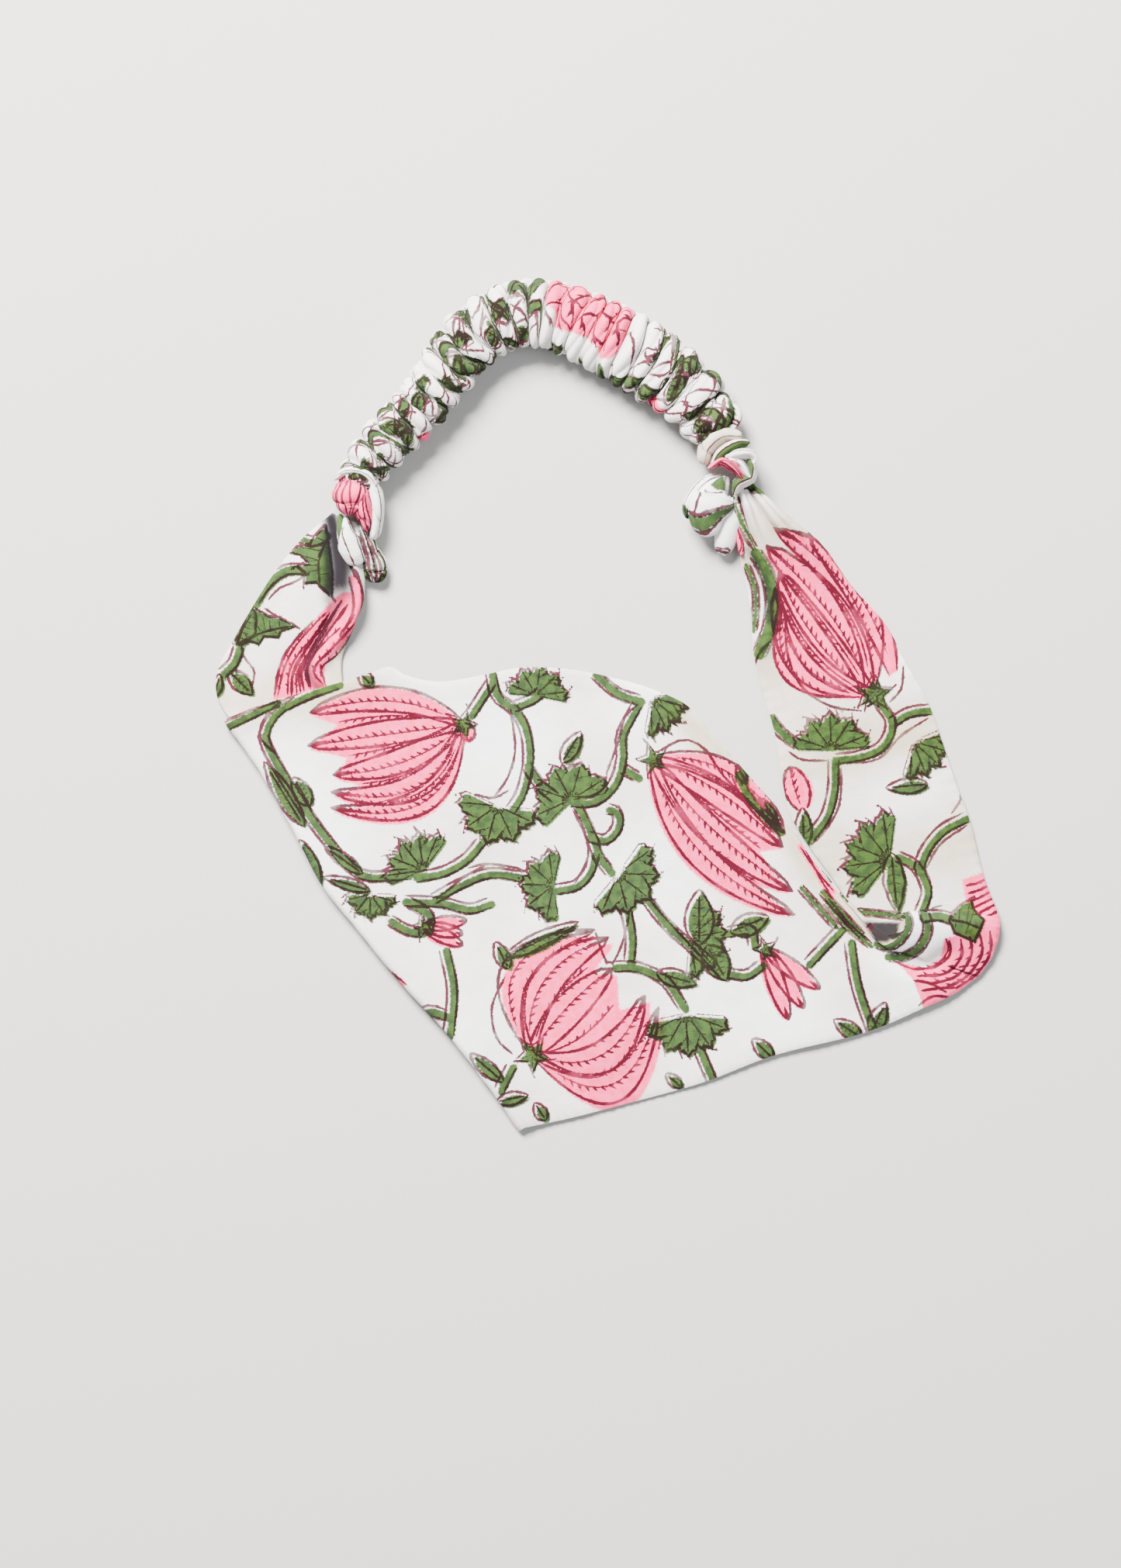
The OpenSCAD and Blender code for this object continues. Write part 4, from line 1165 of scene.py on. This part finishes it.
def right_tail():
    """The right tail: a broad white loop with a rolled edge, over a second narrower layer,
    and a thin pink strip that hangs out of the knot."""
    sheets = Sheets()
    under = Print()
    under.line(curve([(13.4, -1), (13, 3), (13.4, 8)], 10), 0.6)
    under.line(curve([(12.2, 1), (12, 3), (12.4, 6)], 10), 0.3)
    add_roll(sheets, under, [(32.2, 53, 5.0), (31.8, 47, 4.4), (30.6, 42.6, 3.6), (29.6, 39, 2.8)],
             [1.2, 2.6, 3.2, 3.0, 1.6], [2.0, 2.6, 2.8, 2.4, 1.4], 90, 60, (12.0, 0.4, 110), 0.1)
    loop = Print()
    loop.vine([(7.6, -1), (9.6, 2.4), (11.4, 5), (12.6, 8), (13, 12)], 1.1, (0, 0), 1.3)
    loop.fill("green", [(0.6, 3), (2.6, 3.4), (3.6, 6), (2.8, 9), (0.6, 9)])
    loop.line(curve([(3.6, 4.6), (5, 6), (5, 7.6), (4, 9)], 12), 0.36)
    loop.line(curve([(7, 9.4), (8.6, 8.8), (10.6, 9.2), (12, 10)], 12), 0.28)
    add_roll(sheets, loop,
             [(30.6, 58.4, 6.2), (28, 54.8, 6.6), (26.4, 50.4, 6.6), (26.6, 46.4, 5.8), (27.6, 44, 5.0)],
             [1.2, 4.0, 6.0, 6.3, 5.4, 3.6], [2.4, 3.8, 4.4, 4.2, 3.2, 2.0], 130, 96, (14.0, 0.5, 111), 0.05)
    edge = striped_print([], [1.2, 3.4, 5.2])
    edge.fill("green", [(12, -1), (19, -1), (19, 9), (13, 9), (11.4, 5)])
    add_roll(sheets, edge,
             [(29.6, 58.8, 6.4), (26.2, 57.8, 6.8), (22.8, 54.6, 6.8), (20.6, 50.6, 6.2), (21, 47.6, 5.4)],
             [0.7, 1.2, 1.3, 1.2, 0.8], 2.4, 100, 36, (9.0, 0.25, 112), 0.1)
    add_roll(sheets, knot_print(1.6, 5, 8), [(33.6, 46, 4.9), (34.6, 42, 4.3), (34.9, 38.2, 3.4)],
             [0.5, 1.1, 0.7], 1.4, 40, 24, None, 0.1)
    return sheets


# ---------------------------------------------------------------- finishes

# Share of the white cloth that the dye hides, and that the cream tint hides at its warmest
DYE_COVER, CREAM_COVER = 0.985, 0.85


class Finish:
    """A material being made, with one method for each kind of node that it needs."""

    def __init__(self, name):
        self.material = bpy.data.materials.new(name)
        self.material.use_nodes = True
        self.tree = self.material.node_tree
        self.shader = self.tree.nodes["Principled BSDF"]

    def put(self, socket, value):
        """Links or sets an input."""
        if isinstance(value, bpy.types.NodeSocket):
            self.tree.links.new(value, socket)
        else:
            socket.default_value = value

    def node(self, kind, settings=None, **inputs):
        """A new node. An input is given by its name, or by its number after a low line."""
        node = self.tree.nodes.new(kind)
        for key, value in (settings or {}).items():
            setattr(node, key, value)
        for key, value in inputs.items():
            self.put(node.inputs[int(key[1:]) if key[0] == "_" else key], value)
        return node

    def math(self, operation, a, b=0.0, c=0.0):
        return self.node("ShaderNodeMath", {"operation": operation}, _0=a, _1=b, _2=c).outputs[0]

    def ramp(self, value, low, high, to_low=0.0, to_high=1.0):
        """A smooth step of value between low and high."""
        return self.node("ShaderNodeMapRange", {"interpolation_type": "SMOOTHSTEP"}, _0=value, _1=low,
                         _2=high, _3=to_low, _4=to_high).outputs[0]

    def mix(self, share, first, second):
        return self.node("ShaderNodeMix", {"data_type": "RGBA"}, _0=share, _6=first, _7=second).outputs[2]

    def uv(self, name):
        return self.node("ShaderNodeUVMap", {"uv_map": name}).outputs[0]

    def split(self, vector):
        return self.node("ShaderNodeSeparateXYZ", _0=vector).outputs

    def noise(self, vector, scale, detail):
        return self.node("ShaderNodeTexNoise", {"noise_dimensions": "2D"}, Vector=vector, Scale=scale,
                         Detail=detail).outputs[0]

    def surface(self, base, height, distance, strength, roughness):
        """Colour, bump and roughness of the shader."""
        bump = self.node("ShaderNodeBump", Height=height, Distance=distance, Strength=strength)
        self.put(self.shader.inputs["Base Color"], base)
        self.put(self.shader.inputs["Normal"], bump.outputs[0])
        self.shader.inputs["Roughness"].default_value = roughness
        return self.material


def printed_cotton(name, settings):
    """Plain-weave cotton, block printed. The dye spreads a little past its edge in the
    threads, the ink is worn in places, and the weave is a bump of crossed threads. The
    shade map paints a cream tint, partly painted shade, and near black painted shade,
    and the weave's hollows get a little painted shade."""
    f = Finish(name)
    cloth = f.uv("cloth")
    x, y, _ = f.split(cloth)
    bleed = f.math("SUBTRACT", f.noise(cloth, 1.5, 3.0), 0.5)
    patch = f.noise(cloth, 0.16, 3.0)
    depth = f.noise(cloth, 0.45, 2.0)
    pink_in, green_in, _ = f.split(f.uv("dye"))
    pink = f.ramp(f.math("MULTIPLY_ADD", bleed, 0.9, pink_in), -0.3, 0.45)
    green = f.ramp(f.math("MULTIPLY_ADD", bleed, 0.7, green_in), -0.2, 0.3)
    lines = []
    for key in ("ink_one", "ink_two"):
        across, half, _ = f.split(f.uv(key))
        inside = f.math("SUBTRACT", half, f.math("ABSOLUTE", across))
        lines.append(f.ramp(f.math("MULTIPLY_ADD", bleed, 0.4, inside), -0.1, 0.1))
    ink = f.math("MULTIPLY", f.math("MAXIMUM", *lines), f.ramp(patch, 0.3, 0.55, 0.82, 0.98))
    # Cream tint, partly painted shade, and near black painted shade, from the shade map
    warm, painted_shade, _ = f.split(f.uv("shade"))
    base = f.mix(f.math("MULTIPLY", warm, CREAM_COVER), settings.white[:] + (1,), settings.cream[:] + (1,))
    base = f.mix(f.ramp(patch, 0.35, 0.75, 0.0, 0.16), base, settings.cool[:] + (1,))
    pinks = f.mix(f.ramp(depth, 0.35, 0.7), settings.pink[:] + (1,), settings.deep_pink[:] + (1,))
    greens = f.mix(f.ramp(depth, 0.35, 0.68), settings.green[:] + (1,), settings.deep_green[:] + (1,))
    inks = f.mix(green, f.mix(pink, settings.ink[:] + (1,), settings.ink_on_pink[:] + (1,)),
                 settings.ink_on_green[:] + (1,))
    colour = f.mix(f.math("MULTIPLY", pink, DYE_COVER), base, pinks)
    colour = f.mix(f.math("MULTIPLY", green, DYE_COVER), colour, greens)
    colour = f.mix(ink, colour, inks)
    # Painted shade: near black in pleats, folds and the horn's mouth
    colour = f.mix(painted_shade, colour, settings.shade[:] + (1,))
    turns = 2 * np.pi / settings.thread_gap
    weave = f.math("MULTIPLY", f.math("SINE", f.math("MULTIPLY", x, turns)),
                   f.math("SINE", f.math("MULTIPLY", y, turns)))
    stretched = f.node("ShaderNodeMapping", _0=cloth, Scale=(0.35, 3.2, 1)).outputs[0]
    height = f.math("MULTIPLY_ADD", f.noise(stretched, 1.0, 2.0), 1.3, weave)
    # Painted shade in the hollows between the threads: a little darker where the weave is low
    colour = f.mix(f.ramp(height, -0.6, 1.9, 0.13, 0.0), colour, settings.shade[:] + (1,))
    f.shader.inputs["Sheen Weight"].default_value = 0.04
    f.shader.inputs["Sheen Roughness"].default_value = 0.5
    f.shader.inputs["Specular IOR Level"].default_value = 0.1
    return f.surface(colour, height, 0.00006, 0.7, 0.88)


def woven_elastic(settings):
    """White woven elastic: ribs across it and fine cords along it."""
    f = Finish("woven_elastic")
    x, y, _ = f.split(f.uv("cloth"))
    ribs = f.math("SINE", f.math("MULTIPLY", x, np.pi))
    cords = f.math("SINE", f.math("MULTIPLY", y, 9.0))
    height = f.math("MULTIPLY_ADD", cords, 0.5, ribs)
    # Painted shade: grey in the grooves between ribs and cords
    white = f.mix(f.ramp(height, -1.5, 1.5), (0.55, 0.55, 0.53, 1), settings.white[:] + (1,))
    return f.surface(white, height, 0.0002, 0.8, 0.7)


def sewing_thread(settings):
    """White spun thread, its plies a slanting bump on Object coordinates."""
    f = Finish("sewing_thread")
    place = f.node("ShaderNodeTexCoord").outputs["Object"]
    plies = f.node("ShaderNodeTexWave", {"bands_direction": "DIAGONAL"}, Vector=place, Scale=1400.0)
    plies = plies.outputs["Fac"]
    # Painted shade: grey between the plies
    white = f.mix(f.ramp(plies, 0.0, 1.0), (0.6, 0.6, 0.58, 1), settings.white[:] + (1,))
    return f.surface(white, plies, 0.00005, 0.6, 0.6)


# ---------------------------------------------------------------- settings

# Point of the layout in the middle of the picture, in mm
VIEW_CENTRE = (-11.7, -20.4)
# Sky: tint and strength
SKY_TINT, SKY_STRENGTH = (0.93, 0.96, 1.0, 1), 0.36
# Lamps: name, place, size, power in watts and tint
LAMPS = (("key", (-0.38, 0.8, 0.9), 0.5, 128, (1.0, 0.98, 0.95)),
         ("fill", (0.7, -0.2, 1.3), 1.2, 14, (0.92, 0.96, 1.0)))
# Half width of the floor and the height of it, just under the cloth
FLOOR_REACH, FLOOR_LEVEL = 4.0, -0.0001


def colour(name, description, default):
    """A colour setting."""
    return bpy.props.FloatVectorProperty(name=name, description=description, subtype="COLOR", size=3,
                                         min=0, max=1, default=default)

class HeadbandClothSettings(bpy.types.PropertyGroup):
    """Colours and weave of the printed cotton."""
    thread_gap: bpy.props.FloatProperty(name="Thread gap", description="Distance between two threads, in mm",
                                        default=0.5, min=0.2, max=1.0)
    white: colour("White", "Bleached cotton", (0.90, 0.895, 0.895))
    cool: colour("Cool white", "Cotton in a patch of cooler light", (0.77, 0.81, 0.86))
    # Cream: where the lining shines through, and painted shade on the right limb and along the inner hem
    # towards the horn
    cream: colour("Cream", "Cotton that the lining shines through", (0.46, 0.36, 0.23))
    pink: colour("Pink", "Light pink dye", (0.93, 0.085, 0.23))
    deep_pink: colour("Deep pink", "Pink dye where it is thick", (0.86, 0.05, 0.155))
    green: colour("Green", "Leaf green dye", (0.032, 0.074, 0.009))
    deep_green: colour("Deep green", "Green dye where it is thick", (0.015, 0.040, 0.006))
    ink: colour("Ink", "Outline ink on white cloth", (0.06, 0.003, 0.012))
    ink_on_pink: colour("Ink on pink", "Outline ink on pink dye", (0.055, 0.001, 0.007))
    ink_on_green: colour("Ink on green", "Outline ink on green dye", (0.010, 0.004, 0.003))
    # Shade: the colour of painted shade in pleats, folds, the horn's mouth and the weave's hollows
    shade: colour("Shade", "Depth of a pleat", (0.005, 0.003, 0.006))


class HeadbandStageSettings(bpy.types.PropertyGroup):
    """Camera and floor."""
    view_height: bpy.props.FloatProperty(name="View height", description="Length of table seen from above",
                                         default=0.4044, unit="LENGTH", min=0.1, max=2)
    camera_height: bpy.props.FloatProperty(name="Camera height", description="Height of the camera",
                                           default=1.1, unit="LENGTH", min=0.3, max=5)
    floor: colour("Floor", "Plain pale floor", (0.46, 0.455, 0.44))


class HEADBAND_OT_stage(bpy.types.Operator):
    """Adds the floor, the soft light and the camera that looks straight down"""
    bl_idname = "headband.stage"
    bl_label = "Stage"

    def execute(self, context):
        settings = context.scene.headband_stage
        f = Finish("pale_floor")
        f.shader.inputs["Base Color"].default_value = settings.floor[:] + (1,)
        f.shader.inputs["Roughness"].default_value = 0.95
        mesh = bpy.data.meshes.new("floor")
        corners = [(-1, -1), (1, -1), (1, 1), (-1, 1)]
        mesh.from_pydata([(x * FLOOR_REACH, y * FLOOR_REACH, FLOOR_LEVEL) for x, y in corners], [],
                         [(0, 1, 2, 3)])
        mesh.materials.append(f.material)
        floor = bpy.data.objects.new("floor", mesh)
        context.scene.collection.objects.link(floor)
        world = bpy.data.worlds.new("soft_sky")
        world.use_nodes = True
        world.node_tree.nodes["Background"].inputs["Color"].default_value = SKY_TINT
        world.node_tree.nodes["Background"].inputs["Strength"].default_value = SKY_STRENGTH
        context.scene.world = world
        for name, place, size, power, tint in LAMPS:
            lamp = bpy.data.lights.new(name, "AREA")
            lamp.size, lamp.energy, lamp.color = size, power, tint
            light = bpy.data.objects.new(name, lamp)
            context.scene.collection.objects.link(light)
            light.location = place
            light.rotation_euler = (-light.location).to_track_quat("-Z", "Y").to_euler()
        camera = bpy.data.cameras.new("camera")
        camera.sensor_fit = "VERTICAL"
        camera.sensor_height = 24
        camera.lens = camera.sensor_height * settings.camera_height / settings.view_height
        eye = bpy.data.objects.new("camera", camera)
        context.scene.collection.objects.link(eye)
        x, y = ((np.array(VIEW_CENTRE) - LAYOUT_MIDDLE[:2]) * MM).tolist()
        eye.location = (x, y, settings.camera_height)
        context.scene.camera = eye
        return {"FINISHED"}


def cotton_for(context, name):
    """The printed cotton of one kind of piece, made once."""
    return bpy.data.materials.get(name) or printed_cotton(name, context.scene.headband_cloth)


class HEADBAND_OT_band(bpy.types.Operator):
    """Builds the two layers of the folded band"""
    bl_idname = "headband.band"
    bl_label = "Band"

    def execute(self, context):
        face = band_face().finish("band_face", cotton_for(context, "block_printed_cotton"))
        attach(face, "band")
        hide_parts("front_band_face")
        lining = band_lining().finish("band_lining", cotton_for(context, "block_printed_lining"))
        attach(lining, "band")
        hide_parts("front_band_lining")
        return {"FINISHED"}


class HEADBAND_OT_threads(bpy.types.Operator):
    """Sews the two hems with thread and finishes the bar tacks"""
    bl_idname = "headband.threads"
    bl_label = "Seam threads"

    def execute(self, context):
        thread = sewing_thread(context.scene.headband_cloth)
        for name, columns, node in (("inner_hem_thread", (0, 1), "inner_hem_seam"),
                                    ("outer_hem_thread", (-1, -2), "outer_hem_seam")):
            piece = hem_thread(*columns).finish(name, thread)
            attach(piece, "band")
            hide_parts(node)
        for node in ("left_bar_tack", "right_bar_tack"):
            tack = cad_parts[node]
            for place in tack.material_slots:
                place.material = thread
        return {"FINISHED"}


class HEADBAND_OT_back(bpy.types.Operator):
    """Builds the ruched casing and the elastic inside it"""
    bl_idname = "headband.back"
    bl_label = "Elastic back"

    def execute(self, context):
        casing = ruched_casing().finish("ruched_casing", cotton_for(context, "block_printed_ruching"))
        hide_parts("casing_left_flank", "casing_crown", "casing_right_flank")
        strap = elastic_strap().finish("elastic_strap", woven_elastic(context.scene.headband_cloth))
        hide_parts("elastic_left_end", "elastic_crown", "elastic_right_end")
        for piece in (casing, strap):
            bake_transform(piece)
        return {"FINISHED"}


class HEADBAND_OT_knots(bpy.types.Operator):
    """Builds the two knots and their tails"""
    bl_idname = "headband.knots"
    bl_label = "Knots and tails"

    def execute(self, context):
        cotton = cotton_for(context, "block_printed_cotton")
        for name, make, node, body, start, end in (
                ("left_knot_wrap", left_knot_wrap, "left_knot", "back",
                 (-0.0645, 0.047, 0.0065), (-0.0655, 0.060, 0.0065)),
                ("right_knot_wrap", right_knot_wrap, "right_knot", "back",
                 (0.031, 0.056, 0.0065), (0.030, 0.068, 0.0065)),
                ("left_tail", left_tail, "left_knot_tail", "left_tail",
                 (-0.0655, 0.047, 0.004), (-0.0625, 0.041, 0.004)),
                ("right_tail", right_tail, "right_knot_tail", "right_tail",
                 (0.029, 0.057, 0.004), (0.0275, 0.050, 0.004))):
            piece = make().finish(name, cotton)
            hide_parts(node)
            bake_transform(piece)
        return {"FINISHED"}


class HEADBAND_PT_panel(bpy.types.Panel):
    """Lists the headband's pieces and settings"""
    bl_idname = "HEADBAND_PT_panel"
    bl_label = "Knotted headband"
    bl_space_type = "VIEW_3D"
    bl_region_type = "UI"
    bl_category = "Headband"

    def draw(self, context):
        for step in STEPS:
            self.layout.operator(step.bl_idname)
        for settings in (context.scene.headband_cloth, context.scene.headband_stage):
            for key in settings.__annotations__:
                self.layout.prop(settings, key)


STEPS = (HEADBAND_OT_stage, HEADBAND_OT_band, HEADBAND_OT_threads, HEADBAND_OT_back, HEADBAND_OT_knots)
CLASSES = (HeadbandClothSettings, HeadbandStageSettings) + STEPS + (HEADBAND_PT_panel,)


def register():
    for cls in CLASSES:
        bpy.utils.register_class(cls)
    bpy.types.Scene.headband_cloth = bpy.props.PointerProperty(type=HeadbandClothSettings)
    bpy.types.Scene.headband_stage = bpy.props.PointerProperty(type=HeadbandStageSettings)


def unregister():
    del bpy.types.Scene.headband_stage
    del bpy.types.Scene.headband_cloth
    for cls in reversed(CLASSES):
        bpy.utils.unregister_class(cls)


def main():
    register()
    bpy.ops.headband.stage()
    bpy.ops.headband.band()
    bpy.ops.headband.threads()
    bpy.ops.headband.back()
    bpy.ops.headband.knots()
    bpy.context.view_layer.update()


if __name__ == "__main__":
    main()
